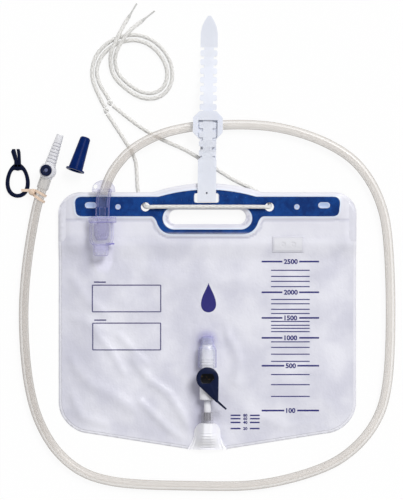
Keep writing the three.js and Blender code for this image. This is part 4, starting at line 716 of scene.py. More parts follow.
def painted_shadow_share(x, y):
    """Painted shadow: the soft dark ground round the tap and below the chamber, strongest away from the
    lamp.
    """
    starts, ends = np.array([(-7.0, -112.0), (-125.0, -14.0)]), np.array([(-9.0, -203.0), (-128.0, -38.0)])
    tap, chamber = segment_gaps(x, y, starts, ends).T
    return np.maximum(smooth(1 - tap / 17), 0.6 * smooth(1 - chamber / 13))


def slot_share(x, y):
    """1 inside the plate's end slots and round holes, which the film closes; there the film is painted light
    blue, a painted reflection of the plate's blue edges.
    """
    return smooth(0.5 - np.min([hole_gap(x, y, hole) for hole in CLOSED_HOLES], axis=0) / 1.6)


def sleeve_share(x, y):
    """How much the non-return sleeve inside the bag shows through: a tongue, narrower at its foot."""
    half = 12 - 5 * smooth((-28 - y) / 14)
    return smooth((half - np.abs(x - INLET_X)) / 2.5) * smooth((y + 44) / 7) * (y < -11)


x, y, triangles = film_plan([GRIP_HOLE, STRAP_HOLE, *CORD_HOLES], FILM_PITCH)
film_points = np.stack([x, y, front_height(x, y)], axis=1)
film_values = {"edge": edge_gap, "rim": plate_gap, "seal": seal_share, "painted_shadow": painted_shadow_share,
               "slot": slot_share, "sleeve": sleeve_share}
front_film = make_piece("film_front_sheet", film_points, triangles, front_finish, "film_front",
                        ["front_film"], closed=False, crease=180,
                        values={name: measure(x, y) for name, measure in film_values.items()})
solid_film(front_film)

# Print: the volume scale and two label fields with a short bar over each, navy ink on the front film,
# drawn 0.12 mm over it. Rows and columns are pixels of the photograph.
INK_RISE = 0.12
ORIGIN_SPOT = (207.4, 233)
MAJOR_LINE = 1.6
MINOR_LINE = 1.0
FINE_LINE = 1.4
FIELD_LINE = 1.05
MAJOR_ENDS = ((261.5, 289.8), (291.4, 318.8))
MINOR_ENDS = (270.9, 309.4)
FINE_ENDS = ((230.5, 240.4), (249.9, 259.5))
FIGURE_HALF = 1.9
MAJOR_FIGURES = (5.2, 290.6)
FINE_FIGURES = (3.1, 245.2)
BOLDNESS = 0.034
MAJOR_ROWS = {"2500": 261.6, "2000": 292.2, "1500": 317.8, "1000": 337.7, "500": 365.5, "100": 410.3}
MINOR_ROWS = [270.3, 276.4, 281.3, 286.6, 299.4, 303.7, 309.2, 313.4, 321.3, 325.2, 328.2, 331.5,
              341.7, 347.2, 354.0, 361.1, 374.3, 384.4, 396.1]
FINE_ROWS = {"80": 415.0, "60": 418.4, "40": 422.2, "20": 428.4}
LABEL_BOXES = [(92.6, 285.1, 160.8, 311.7), (93.0, 323.0, 160.7, 349.7)]


def spot(across, down):
    """The place in millimetres of a mark that the photograph shows at this pixel."""
    return (across - ORIGIN_SPOT[0]) * PIXEL_MM, (ORIGIN_SPOT[1] - down) * PIXEL_MM


def crossed(low, high, middle, thickness):
    """The places about 2 mm apart along an ink line, and those of its two edges across it."""
    return np.linspace(low, high, 2 + int((high - low) / 2)), middle + thickness


def bar(left, right, row, thickness):
    """A straight ink line along X, as the X and Y of a grid of points."""
    (x0, y0), (x1, _) = spot(left, row), spot(right, row)
    return np.meshgrid(*crossed(x0, x1, y0, np.array([-0.5, 0.5]) * thickness * PIXEL_MM))


def upright_bar(low, high, column, thickness):
    """The same along Y."""
    (x0, y0), (_, y1) = spot(column, low), spot(column, high)
    y, x = np.meshgrid(*crossed(y0, y1, x0, np.array([0.5, -0.5]) * thickness * PIXEL_MM))
    return x, y


def lay_ink(name, strips, finish):
    """One mesh of all the strips, each a grid of points at the film's height."""
    points, faces = [], []
    for x, y in strips:
        first = sum(len(part) for part in points)
        faces += grid_faces(*x.shape, first=first).tolist()
        height = front_height(x.ravel(), y.ravel()) + INK_RISE
        points.append(np.stack([x.ravel(), y.ravel(), height], axis=1))
    return make_piece(name, np.vstack(points), faces, finish, "film_front", closed=False)


ink_finish = mottled("print_ink", tint(32, 28, 112), 0.42, 1.1, tint(24, 20, 100), tint(46, 42, 128), 3)
(outer_left, inner_left), (inner_right, outer_right) = MAJOR_ENDS
scale_strips = []
for text, row in MAJOR_ROWS.items():
    room = FIGURE_HALF * len(text)
    scale_strips += [bar(outer_left, inner_left - room, row, MAJOR_LINE)]
    scale_strips += [bar(inner_right + room, outer_right, row, MAJOR_LINE)]
scale_strips += [bar(*MINOR_ENDS, row, MINOR_LINE) for row in MINOR_ROWS]
scale_strips += [bar(*ends, row, FINE_LINE) for row in FINE_ROWS.values() for ends in FINE_ENDS]
lay_ink("printed_scale", scale_strips, ink_finish)

field_finish = mottled("print_field", tint(66, 62, 112), 0.45, 1.3, tint(54, 50, 104), tint(88, 84, 130), 3)
field_strips = []
for left, high, right, low in LABEL_BOXES:
    field_strips += [bar(left, right, row, FIELD_LINE) for row in (high, low)]
    field_strips += [upright_bar(low, high, column, FIELD_LINE) for column in (left, right)]
    field_strips += [bar(left + 1.6, left + 13.5, high - 3, 1.3)]
lay_ink("printed_fields", field_strips, field_finish)


def number_points(text, height, across, down):
    """Corners and faces of a number in plain figures, centred at a pixel of the photograph."""
    curve = bpy.data.curves.new("figures", "FONT")
    curve.body, curve.align_x, curve.align_y = text, "CENTER", "CENTER"
    curve.size, curve.resolution_u, curve.offset = 1, 3, BOLDNESS
    holder = bpy.data.objects.new("figures", curve)
    bpy.context.scene.collection.objects.link(holder)
    bpy.context.view_layer.update()
    mesh = holder.to_mesh()
    flat = np.array([vertex.co[:2] for vertex in mesh.vertices])
    faces = [list(face.vertices) for face in mesh.polygons]
    bpy.data.objects.remove(holder)
    flat = (flat - (flat.max(0) + flat.min(0)) / 2) * height / np.ptp(flat[:, 1])
    x0, y0 = spot(across, down)
    return flat[:, 0] * 1.08 + x0, flat[:, 1] + y0, faces


points, faces = [], []
figures = [(text, *MAJOR_FIGURES, row) for text, row in MAJOR_ROWS.items()]
figures += [(text, *FINE_FIGURES, row) for text, row in FINE_ROWS.items()]
for text, height, across_px, row in figures:
    x, y, number_faces = number_points(text, height, across_px, row)
    first = sum(len(part) for part in points)
    faces += [[first + corner for corner in face] for face in number_faces]
    points.append(np.stack([x, y, front_height(x, y) + INK_RISE + 0.02], axis=1))
make_piece("printed_numbers", np.vstack(points), faces, ink_finish, "film_front", closed=False)

# Drop: a plain drop, printed in the same ink near the middle of the bag. Its outline goes DROP_HALF times
# sin t sin(t / 2) ** 1.6 aside and half of DROP_TALL times cos t up.
DROP_PLACE = (208.5, 297.5)
DROP_HALF = 11.5
DROP_TALL = 31

turn = np.linspace(0, 2 * np.pi, 48, endpoint=False)
drop = np.stack([DROP_HALF * np.sin(turn) * np.sin(turn / 2) ** 1.6, DROP_TALL / 2 * np.cos(turn)], axis=1)
shares = np.linspace(1, 0.04, 9)[:, None]
drop_x = shares * drop[:, 0] + spot(*DROP_PLACE)[0]
drop_y = shares * (drop[:, 1] + 6) - 6 + spot(*DROP_PLACE)[1]
drop_faces = grid_faces(len(shares), len(turn), columns_close=True)[:, ::-1].tolist()
drop_faces.append(list(range((len(shares) - 1) * len(turn), len(shares) * len(turn)))[::-1])
drop_z = front_height(drop_x.ravel(), drop_y.ravel()) + INK_RISE
drop_points = np.stack([drop_x.ravel(), drop_y.ravel(), drop_z], axis=1)
make_piece("printed_drop", drop_points, drop_faces, ink_finish, "film_front", closed=False)

# Stiffener plate: a blue polypropylene plate, 1.6 mm, die cut with its grip and holes and sealed in
# between the films. It keeps the shape of its CAD node.
plate_finish = Finish("plate_blue", tint(15, 58, 128), 0.3, Specular_IOR_Level=0.06)
mottle = plate_finish.noise(5, 3) * 0.5 + plate_finish.noise(22, 2) * 0.5
plate_finish.set("Base Color", plate_finish.mix(mottle.step(0.3, 0.72), tint(9, 46, 108), tint(18, 70, 144)))
plate_finish.bump(plate_finish.noise(6, 2), 0.3)
dress("stiffener_plate", plate_finish)

# Hanging strap: white polypropylene, moulded in one with its ratchet teeth and its closing head. It keeps
# the shape of its CAD node, with its tail through the header's slot.
strap_finish = mottled("strap_white", tint(232, 234, 244), 0.4, 30, tint(222, 226, 239), tint(236, 239, 248),
                       Specular_IOR_Level=0.3, Subsurface_Weight=0.4, Subsurface_Radius=(1, 1, 1),
                       Subsurface_Scale=SOFT_DEPTH)
strap_finish.bump(strap_finish.noise(1.2, 2), 0.05)
dress("hanging_strap", strap_finish)


# Inlet: a violet-tinted clear PVC socket with its lifting tab, a drip nozzle and a drip chamber, which
# stands on the front film, and the flat non-return sleeve inside the bag below it.
INLET_Z = 15.7
SOCKET_HALF = 7.35
FLANGE_HALF = 14.4
SOCKET_BORE = 5.4
SOCKET_LEAN = [(45.2, 2.4), (38, 1.1), (30, 0.2)]
FLANGE_ROWS = [(16.4, 0.8), (14.4, 0.3), (12.2, 0.35), (10.5, 1)]
TAB_HOLE = (-116.6, 48.2)
TAB_HOLE_RADIUS = 2.2


def rounded(rows, size, closed):
    """The rows of a profile with each inner corner cut short by size and bridged by a quadratic curve."""
    rows = np.array(rows, float)
    before, after = np.roll(rows, 1, axis=0), np.roll(rows, -1, axis=0)
    back, ahead = before - rows, after - rows
    back_length = np.linalg.norm(back, axis=1, keepdims=True)
    ahead_length = np.linalg.norm(ahead, axis=1, keepdims=True)
    start = rows + back / np.maximum(back_length, 1e-9) * np.minimum(size, back_length * 0.45)
    end = rows + ahead / np.maximum(ahead_length, 1e-9) * np.minimum(size, ahead_length * 0.45)
    t = np.linspace(0, 1, 5)[None, :, None]
    bent = (1 - t) ** 2 * start[:, None] + 2 * t * (1 - t) * rows[:, None] + t ** 2 * end[:, None]
    if closed:
        return bent.reshape(-1, rows.shape[1])
    return np.vstack([rows[:1], bent[1:-1].reshape(-1, rows.shape[1]), rows[-1:]])


def loft(rows, x, z, sides=56, size=0.5, closed=True):
    """Rings along Y: each row is half width, half height, place along Y, sideways shift and painted shade.
    A closed profile comes back to its first row; an open one is capped at both ends."""
    rows = [list(row) + [0] * (5 - len(row)) for row in rows]
    half_x, half_z, y, shift, edge_shade = rounded(rows, size, closed).T[:, :, None]
    angle = circle(sides)
    level = 0 * angle
    columns = [x + shift + half_x * np.cos(angle), y + level, z + half_z * np.sin(angle), edge_shade + level]
    points = np.stack(columns, axis=2)
    faces = grid_faces(len(points), sides, rows_close=closed, columns_close=True).tolist()
    if not closed:
        faces += end_caps(len(points), sides)
    return points.reshape(-1, 4), faces


def round_rows(rows):
    """Rows of a loft with one radius: half width and half height are the same."""
    return [(row[0], *row) for row in rows]


def joined(*shells):
    """One list of points and faces from several closed shells."""
    points, faces, first = [], [], 0
    for shell_points, shell_faces in shells:
        faces += [[first + corner for corner in face] for face in outward(shell_points, shell_faces)]
        points.append(shell_points)
        first += len(shell_points)
    return np.vstack(points), faces


def slab(loops, levels, ring=False):
    """A flat piece from outlines stacked at their levels: capped at both ends, or joined in a ring."""
    count = len(loops[0])
    heights = np.repeat(levels, count)
    points = np.column_stack([np.vstack(loops), heights, 0 * heights])
    faces = grid_faces(len(loops), count, rows_close=ring, columns_close=True).tolist()
    if ring:
        return points, faces
    return points, faces + end_caps(len(loops), count)


def shrunk(loop, inset):
    """An outline moved inwards by inset along the mean of its two sides' normals; it runs anticlockwise."""
    side = np.roll(loop, -1, axis=0) - loop
    side /= np.linalg.norm(side, axis=1, keepdims=True)
    normal = side + np.roll(side, 1, axis=0)
    normal /= np.linalg.norm(normal, axis=1, keepdims=True)
    return loop + inset * np.stack([-normal[:, 1], normal[:, 0]], axis=1)


def soft_slab(loop, low, high, edge):
    """A flat piece whose upper and lower rims are rounded by edge."""
    insets = edge * np.array([1, 0.3, 0, 0, 0.3, 1])
    levels = [low, low + 0.3 * edge, low + edge, high - edge, high - 0.3 * edge, high]
    return slab([shrunk(loop, inset) for inset in insets], levels)


def clear_plastic(name, pale, edge_shade, thin, thick, roughness=0.12, specular=0.5, haze=0.03):
    """Clear plastic: pale and thin to look through where it lies level; deeper and thicker where its wall is
    upright or a piece's painted shade value asks for it, painted shade for the dark edges of clear plastic.
    """
    finish = Finish(name, pale, roughness, IOR=1.45, Specular_IOR_Level=specular, Coat_Weight=0.2)
    normal = finish.node("ShaderNodeNewGeometry", out="Normal")
    upright_share = 1 - abs(finish.node("ShaderNodeSeparateXYZ", {}, {0: normal}, out="Z"))
    wall = upright_share.step(0.3, 0.85).larger(finish.attribute("edge_shade"))
    finish.set("Base Color", finish.mix(wall, pale, edge_shade))
    finish.set("Alpha", thin + (thick - thin) * wall + haze * finish.noise(7))
    finish.bump(finish.noise(5), 0.1)
    return finish


# Each clear finish gives a pale colour and the deeper colour of its painted edge shade.
violet_finish = clear_plastic("clear_violet", tint(244, 244, 254), tint(128, 120, 204), 0.03, 0.82)
socket_finish = clear_plastic("clear_socket", tint(232, 232, 252), tint(150, 143, 214), 0.01, 0.62,
                              haze=0.016)
pale_finish = clear_plastic("clear_pale", tint(234, 233, 249), tint(176, 172, 220), 0.46, 0.8)
nozzle_finish = clear_plastic("clear_deep", tint(182, 178, 224), tint(122, 114, 192), 0.13, 0.55)
socket_rows = round_rows([(SOCKET_HALF, y, shift) for y, shift in SOCKET_LEAN] + [(SOCKET_HALF, 16.4)])
socket_rows += [(FLANGE_HALF, SOCKET_HALF, y, 0, edge_shade) for y, edge_shade in FLANGE_ROWS]
socket_rows += round_rows([(5.8, 10.5), (5.8, 14.3), (3.2, 14.3), (3.2, 26.5), (SOCKET_BORE, 26.5)])
socket_rows += round_rows([(SOCKET_BORE, y, shift) for y, shift in SOCKET_LEAN[::-1]])
socket = loft(socket_rows, INLET_X, INLET_Z, size=0.7)
make_piece("inlet_socket_clear", *socket, socket_finish, "clear_violet", ["inlet_socket"])

lean = np.linspace(0, np.pi, 22)
tab_loop = np.stack([INLET_X + 1.2 + 12.2 * np.cos(lean), 42.4 + 12.4 * np.sin(lean) ** 0.8], axis=1)
tab_loop = resampled(tab_loop, 1.2)
toward = np.arctan2(tab_loop[:, 1] - TAB_HOLE[1], tab_loop[:, 0] - TAB_HOLE[0])
tab_hole = TAB_HOLE + TAB_HOLE_RADIUS * np.stack([np.cos(toward), np.sin(toward)], axis=1)
tab_rings = [tab_hole, shrunk(tab_loop, 0.4), tab_loop, tab_loop, shrunk(tab_loop, 0.4), tab_hole]
tab_levels = INLET_Z + np.array([-1.1, -1.1, -0.5, 0.5, 1.1, 1.1])
make_piece("inlet_tab", *slab(tab_rings, tab_levels, ring=True), pale_finish, "clear_violet")

nozzle_rows = round_rows([(5.4, 14), (5.4, 5), (3.2, -4), (1.8, -4), (1.8, 14)])
nozzle = loft(nozzle_rows, INLET_X, INLET_Z)
make_piece("drip_nozzle_clear", *nozzle, nozzle_finish, "clear_violet", ["drip_nozzle"])

NECK_SHIFT = -1.6
CHAMBER_SHIFT = -1
neck_inside = [(4.8, 3.1, -22.9), (6.5, 4, -21.6, 0.3), (6.5, 4, -12.4, 0.45)]
chamber_wall = [(8.2, 4.3, -11.5), (9.6, 5.5, -9.7), (10.6, 5.95, -6), (10.6, 5.95, 10.2),
                (12.4, 7.25, 10.2, 0.3), (12.4, 7.25, -6.8), (11.6, 6.8, -10.6, 0.2), (9.4, 5.5, -12.8, 0.7)]
neck_outside = [(7.8, 5.2, -13.2, 0.45), (7.8, 5.2, -22.7, 0.2), (6.3, 4.2, -24.2, 0.7)]
funnel_wall = [(7.6, 5.3, 9.5, 0.2), (7.8, 4.9, -2.6), (5.2, 3.9, -7.6, 0.3), (4.6, 3.4, -7.6),
               (7.1, 4.4, -2.4), (6.9, 4.8, 9.5)]


def shifted(rows, shift):
    """Rows of a loft with their sideways shift put in, before the painted shade."""
    return [(*row[:3], shift, *row[3:]) for row in rows]


cup_rows = shifted(neck_inside, NECK_SHIFT) + shifted(chamber_wall, CHAMBER_SHIFT)
cup_rows += shifted(neck_outside, NECK_SHIFT)
cup = loft(cup_rows, INLET_X, INLET_Z, size=0.8, closed=False)
funnel = loft(shifted(funnel_wall, CHAMBER_SHIFT), INLET_X, INLET_Z, size=1.2)
step_rows = [(4.6, 3.2, -10.6, 0.9), (4.6, 3.2, -12.2, 0.9), (3.8, 2.6, -12.2, 0.9), (3.8, 2.6, -10.6, 0.9)]
step = loft(shifted(step_rows, 7.9), INLET_X, INLET_Z, size=0.3)
make_piece("drip_chamber_clear", *cup, violet_finish, "clear_violet", ["drip_chamber"])
make_piece("drip_chamber_step", *step, violet_finish, "clear_violet")
make_piece("drip_funnel", *funnel, nozzle_finish, "clear_violet")

sleeve_finish = Finish("valve_film", tint(206, 206, 232), 0.25)
sleeve_finish.set("Alpha", 0.4 + 0.2 * sleeve_finish.noise(6))
dress("reflux_valve", sleeve_finish)

# Air vent: a white porous patch, welded on the front film round its edge and embossed with two ring
# marks. It is a small sheet that follows the film's height and rises inside its rim.
VENT = (84.4, -12.1, 16.6, 8.5, 1.0)
MARK_SHIFTS = (-5.2, 5.2)
MARK_RADIUS = 1.6

patch_finish = Finish("patch_white", tint(246, 246, 250), 0.8, Specular_IOR_Level=0.2)
frame_gap = patch_finish.attribute("rim")
weld_dots = patch_finish.noise(0.7, 1)
middle_share = frame_gap.step(1.6, 2.2) * 0.5
patch_finish.set("Base Color", patch_finish.mix(middle_share, tint(236, 236, 245), tint(248, 248, 252)))
patch_finish.set("Alpha", 0.8)
patch_finish.bump(frame_gap.step(1.5, 2.1) + 0.3 * weld_dots - patch_finish.attribute("mark"), 0.4)
vent_x, vent_y = np.meshgrid(np.linspace(-1, 1, 67) * VENT[2] + VENT[0],
                             np.linspace(-1, 1, 35) * VENT[3] + VENT[1])
vent_x, vent_y = vent_x.ravel(), vent_y.ravel()
vent_rim = -hole_gap(vent_x, vent_y, VENT)
to_marks = [np.hypot(vent_x - VENT[0] - shift, vent_y - VENT[1]) for shift in MARK_SHIFTS]
vent_mark = sum(smooth(1.5 - np.abs(gap - MARK_RADIUS)) for gap in to_marks)
vent_top = front_height(vent_x, vent_y) + 0.3 + 0.3 * smooth(vent_rim / 0.8)
vent_points, vent_faces = np.stack([vent_x, vent_y, vent_top], axis=1), grid_faces(35, 67)
vent = make_piece("vent_patch_welded", vent_points, vent_faces, patch_finish, "patch_white",
                  ["vent_patch"], closed=False, values={"rim": vent_rim, "mark": vent_mark})
vent_wall = vent.modifiers.new("thickness", "SOLIDIFY")
vent_wall.thickness, vent_wall.offset = 0.25 * MM, -1

# Drain tap: a white polyethylene body whose ribbed spigot stands in a clear holster on the bag, with
# a navy turning lever on its barrel, and the clear outlet tube on its neck.
TAP_Y = -151.4
TAP_Z = 11.2
HALO_CENTRE = np.array((0.0, -112.0))
BARREL_RADIUS = 8.6
RIB_PITCH = 2.8
RIB_ROWS = [(6.6, 5.0, -130.8), (6.6, 5.0, -132.2), (6.0, 4.5, -132.6), (6.0, 4.5, -133.2)]

tap_finish = Finish("tap_white", tint(232, 232, 236), 0.4, Specular_IOR_Level=0.35)
# Painted shade: the tap's end inside the outlet tube is painted near black, with fine ribs.
inner_end_shade = tap_finish.axis("Y").step(-186 * MM, -188 * MM)
ribs = (tap_finish.axis("X") * (2 * np.pi / (1.9 * MM))).sine()
tap_color = tap_finish.mix(tap_finish.noise(8), tint(222, 222, 229), tint(240, 240, 243))
neck_shade = tap_finish.axis("Y").step(-180 * MM, -176 * MM)
neck_shade = neck_shade * tap_finish.axis("Y").step(-173.5 * MM, -174.8 * MM)
tap_color = tap_finish.mix(0.6 * neck_shade, tap_color, tint(138, 140, 156))
tap_finish.set("Base Color", tap_finish.mix(inner_end_shade * (0.8 + 0.2 * ribs), tap_color, tint(52, 48, 64)))
tap_finish.bump(tap_finish.noise(1), 0.04)
ribbed = [(2.1, 2.1, -117.2), (4.7, 3.3, -117.2), (6.1, 4.3, -120.6), (6.4, 4.6, -130.4)]
ribbed += [(half_x, half_z, y - RIB_PITCH * rib) for rib in range(3) for half_x, half_z, y in RIB_ROWS]
ribbed += [(6, 4.8, -141), (8.2, 6.2, -146), (8.2, 6.2, -173.5), (7.2, 5.2, -174.5)]
ribbed += round_rows([(3.7, -174.5), (3.7, -196), (2.1, -196)])


def disc_loop(radius, sides=56):
    """A round outline: radius times cos and sin of the angle."""
    angle = circle(sides)
    return radius * np.stack([np.cos(angle), np.sin(angle)], axis=1)


barrel_shell = soft_slab(disc_loop(BARREL_RADIUS) + (0, TAP_Y), 4.4, 17.6, 0.5)
tap_shell = joined(loft(ribbed, 0, TAP_Z, size=0.5), barrel_shell)
make_piece("tap_body_white", *tap_shell, tap_finish, "tap_white", ["tap_body"])

LEVER_HEAD = 11.7
LEVER_NOSE = (9.9, -23.4, 1.4)
TAIL_END = (19.4, -31.8)
LEVER_LOW = 17.9
LEVER_HIGH = 21.3
RECESS_RADIUS = 7
RECESS_HALF = 4.9

lever_finish = Finish("lever_navy", tint(13, 22, 52), 0.38, Specular_IOR_Level=0.15)
hollow = lever_finish.attribute("hollow")
navy = lever_finish.mix(lever_finish.noise(7, 3), tint(9, 16, 42), tint(20, 31, 66))
# Painted shade and painted glints: the recess is painted near black with brownish glints.
recess_shade_and_glint = lever_finish.mix(lever_finish.noise(3, 2).step(0.5, 0.75), tint(4, 5, 10), tint(60, 48, 30))
lever_finish.set("Base Color", lever_finish.mix(hollow, navy, recess_shade_and_glint))
lever_finish.bump(lever_finish.noise(0.6, 2), 0.04)


def teardrop(inset):
    """The lever's outline: an arc of the head, then an arc of the nose, joined by two tangents."""
    away, facing = np.hypot(*LEVER_NOSE[:2]), np.arctan2(LEVER_NOSE[1], LEVER_NOSE[0])
    spread = np.arccos((LEVER_HEAD - LEVER_NOSE[2]) / away)
    head_angle = np.linspace(facing + spread, facing - spread + 2 * np.pi, 60)
    nose_angle = np.linspace(facing - spread, facing + spread, 12)
    head = (LEVER_HEAD - inset) * np.stack([np.cos(head_angle), np.sin(head_angle)], axis=1)
    nose = (LEVER_NOSE[2] - inset) * np.stack([np.cos(nose_angle), np.sin(nose_angle)], axis=1)
    return np.vstack([head, nose + LEVER_NOSE[:2]])


lever_loop = teardrop(0)
toward = np.arctan2(lever_loop[:, 1], lever_loop[:, 0])
reach = np.minimum(RECESS_RADIUS, RECESS_HALF / np.maximum(np.abs(np.sin(toward)), 0.01))
recess = reach[:, None] * np.stack([np.cos(toward), np.sin(toward)], axis=1)
lever_rings = [teardrop(inset) for inset in (0.7, 0.2, 0, 0, 0.25, 0.8)]
lever_rings += [recess * share for share in (1.06, 1, 1, 0.9)]
lever_levels = [LEVER_LOW + rise for rise in (0, 0.2, 0.7)]
lever_levels += [LEVER_HIGH - drop for drop in (0.9, 0.25, 0, 0, 0.25, 1.4, 1.6)]
lever_shell = slab([loop + (0, TAP_Y) for loop in lever_rings], lever_levels)
start, end = np.array(LEVER_NOSE[:2]), np.array(TAIL_END)
side = (end - start)[::-1] * (1, -1) / np.linalg.norm(end - start) * 0.95
tail_loop = np.array([start + side, end + side * 0.7, end - side * 0.7, start - side])[::-1] + (0, TAP_Y)
tail_shell = soft_slab(tail_loop, LEVER_LOW, LEVER_LOW + 1.9, 0.3)
hollow_value = [np.repeat([0] * 7 + [1] * 3, len(lever_loop)), np.zeros(len(tail_shell[0]))]
make_piece("tap_lever_navy", *joined(lever_shell, tail_shell), lever_finish, "lever_navy", ["tap_lever"],
           body="lever", values={"hollow": np.concatenate(hollow_value)})

holster_finish = clear_plastic("clear_holster", tint(240, 244, 255), tint(126, 120, 206), 0.08, 0.85)
holster_rows = [(5.0, 3.1, -109.6), (5.2, 3.3, -115.6), (8.5, 5.3, -121.8), (8.5, 5.3, -140.6),
                (9.5, 6.1, -140.6), (9.5, 6.1, -122.4, 0, 0.2), (8.6, 5.4, -119.6, 0, 0.4),
                (6.4, 4.0, -116, 0, 0.1), (6.2, 4.0, -108.2, 0, 0.6)]
holster = loft(holster_rows, 0, TAP_Z, size=0.9, closed=False)
make_piece("spout_holster_clear", *holster, holster_finish, "clear_violet", ["spout_holster"])

# The clear weld patch fades out from the holster's top; its violet there is partly the patch itself and
# partly painted shade round the holster's top.
patch_shade_finish = mottled("clear_patch", tint(188, 184, 234), 0.35, 6, tint(178, 174, 228), tint(196, 193, 238),
                      Specular_IOR_Level=0.2)
patch_shade_finish.set("Alpha", 0.5 * patch_shade_finish.attribute("patch_shade"))
half_loop = np.array([(14, -140.6), (14, -105.8), (12.2, -101.6), (8, -99.8)])
patch_loop = resampled(np.vstack([half_loop, half_loop[::-1] * (-1, 1)]), 2.0)
patch_shares = [1, 1, 0.9, 0.78, 0.64, 0.48, 0.3, 0.12]
patch_rings = [(patch_loop - HALO_CENTRE) * share + HALO_CENTRE for share in patch_shares]
patch_shell = slab(patch_rings, [4.5] + [4.9] * (len(patch_rings) - 1))
patch_near = np.hypot(patch_shell[0][:, 0] / 13.5, (patch_shell[0][:, 1] - HALO_CENTRE[1]) / 12.5)
make_piece("holster_weld_patch", *patch_shell, patch_shade_finish, "clear_violet",
           values={"patch_shade": smooth(1.05 - patch_near)})

outlet_finish = clear_plastic("clear_outlet", tint(240, 239, 245), tint(168, 165, 178), 0.07, 0.5)
outlet = loft(round_rows([(6.2, -187), (6.2, -213.5), (4.05, -213.5), (4.05, -187)]), 0, TAP_Z)
make_piece("outlet_tube_clear", *outlet, outlet_finish, "clear_tube", ["outlet_tube"])

# Spout: white soft polyethylene film moulding, welded to the bag's lower seam and folded up over the
# front, a ribbed dome over the outlet tube's end with flaring folds at its sides.
SPOUT_HALF = 13.6
SPOUT_FLARE = 7.5
SPOUT_TOP = -198.5
SPOUT_FOOT = -226.9
RIB_STEP = 3.1
SPOUT_WALL = 1.1

spout_finish = mottled("spout_white", tint(240, 240, 250), 0.42, 9, tint(244, 244, 254), tint(254, 254, 255),
                       Specular_IOR_Level=0.35)
spout_finish.set("Alpha", 0.97)
spout_finish.bump(spout_finish.noise(4, 2), 0.25)
share_x, share_y = np.meshgrid(np.linspace(-1, 1, 91), np.linspace(0, 1, 81))
upper_edge = SPOUT_TOP - 8 * np.abs(share_x) ** 4
spout_y = upper_edge + (SPOUT_FOOT - upper_edge) * share_y
spout_x = share_x * (SPOUT_HALF + SPOUT_FLARE * share_y ** 2)
spout_low = flat_front_height(spout_x, spout_y) + FILM_GAP
crown = 6 + 12.8 * smooth((spout_y - SPOUT_FOOT) / 16)
dome = smooth((1 - np.abs(share_x)) / 0.8)
ribs = 0.4 * np.cos((spout_y + 208) / RIB_STEP * 2 * np.pi)
ribs = ribs * smooth((9 - np.abs(spout_x)) / 3) * smooth((-207 - spout_y) / 2)
flare = 0.55 * np.cos(share_x * 30) * smooth((np.abs(share_x) - 0.5) / 0.3) * smooth((-204 - spout_y) / 8)
spout_high = spout_low + SPOUT_WALL + np.maximum(crown - spout_low - SPOUT_WALL, 0) * dome
spout_high = spout_high + (ribs + flare) * smooth(share_y * 6)
count = spout_x.size
spout_points = np.vstack([np.stack([spout_x.ravel(), spout_y.ravel(), level.ravel()], axis=1)
                          for level in (spout_high, spout_low)])
surface = grid_faces(*spout_x.shape)
index = np.arange(count).reshape(spout_x.shape)
border = np.concatenate([index[0], index[1:, -1], index[-1, -2::-1], index[-2:0:-1, 0]])
skirt = np.stack([border, np.roll(border, -1), np.roll(border, -1) + count, border + count], axis=1)
spout_faces = np.vstack([surface[:, ::-1], surface + count, skirt])
make_piece("outlet_spout_white", spout_points, spout_faces, spout_finish, "tap_white", ["outlet_spout"])

# Catheter connector: a clear stepped cone on the tube's end with its sample port, a navy collar round
# a grey septum, and a soft sleeve over the joint.
CONNECTOR = (-166.6, 64.6, 7)
CONNECTOR_TURN = -0.323
PORT_ROLL = -0.16
STEP_PITCH = 3.5
STEP_TAPER = 0.22
STEP_GROOVE = 0.75


def turned_about(points, angle, first, second):
    """Points turned by an angle in the plane of two axes."""
    out = np.array(points, float)
    out[:, first] = points[:, first] * np.cos(angle) - points[:, second] * np.sin(angle)
    out[:, second] = points[:, first] * np.sin(angle) + points[:, second] * np.cos(angle)
    return out


def on_connector(shell, roll=0):
    """A shell from the connector's own axes to its place, rolled about its length first."""
    points = turned_about(shell[0], -roll, 0, 2)
    points = turned_about(points, CONNECTOR_TURN, 0, 1)
    points[:, :3] += CONNECTOR
    return points, shell[1]


cone_finish = clear_plastic("clear_cone", tint(246, 246, 250), tint(172, 172, 184), 0.72, 0.88, 0.2)
port_finish = mottled("port_white", tint(226, 226, 232), 0.3, 5, tint(214, 214, 222), tint(238, 238, 242),
                      Specular_IOR_Level=0.4)
cone_rows = [(1.9, -7.8), (6.3, -7.8), (6.3, 5.7)]
for step in range(7):
    along, radius = 6.3 + STEP_PITCH * step, 5.9 - STEP_TAPER * step
    cone_rows += [(radius, along + 0.4), (radius - 0.1, along + 2.6)]
    cone_rows += [(radius - STEP_GROOVE, along + 3, 0, 0.8), (radius - STEP_GROOVE, along + 3.4, 0, 0.8)]
cone_rows += [(4.2, 31), (3.6, 40.1), (1.9, 40.1)]
cone_shell = on_connector(loft(round_rows(cone_rows), 0, 0, size=0.35))
connector = make_piece("connector_cone", *cone_shell, cone_finish, "connector_white", ["catheter_connector"])
boss_shell = on_connector(soft_slab(disc_loop(7.8), -4.6, 7.6, 0.5), PORT_ROLL)
boss = make_piece("connector_port", *boss_shell, port_finish, "connector_white")
collar_rings = [disc_loop(radius) for radius in (2.3, 5.5, 6, 6, 5.5, 2.9, 2.3)]
collar_levels = [7.9, 7.9, 8.2, 9.7, 10.1, 10.1, 9.6]
collar_shell = slab(collar_rings, collar_levels, ring=True)
collar = make_piece("sample_port_ring", *on_connector(collar_shell, PORT_ROLL), lever_finish, "lever_navy",
                    ["sample_port_collar"], values={"hollow": np.zeros(len(collar_shell[0]))})
septum_finish = mottled("septum_grey", tint(90, 98, 134), 0.65, 1.5, tint(78, 86, 122),
                        tint(102, 110, 146), 3)
septum_shell = on_connector(soft_slab(disc_loop(2.0), 7.9, 9.5, 0.3), PORT_ROLL)
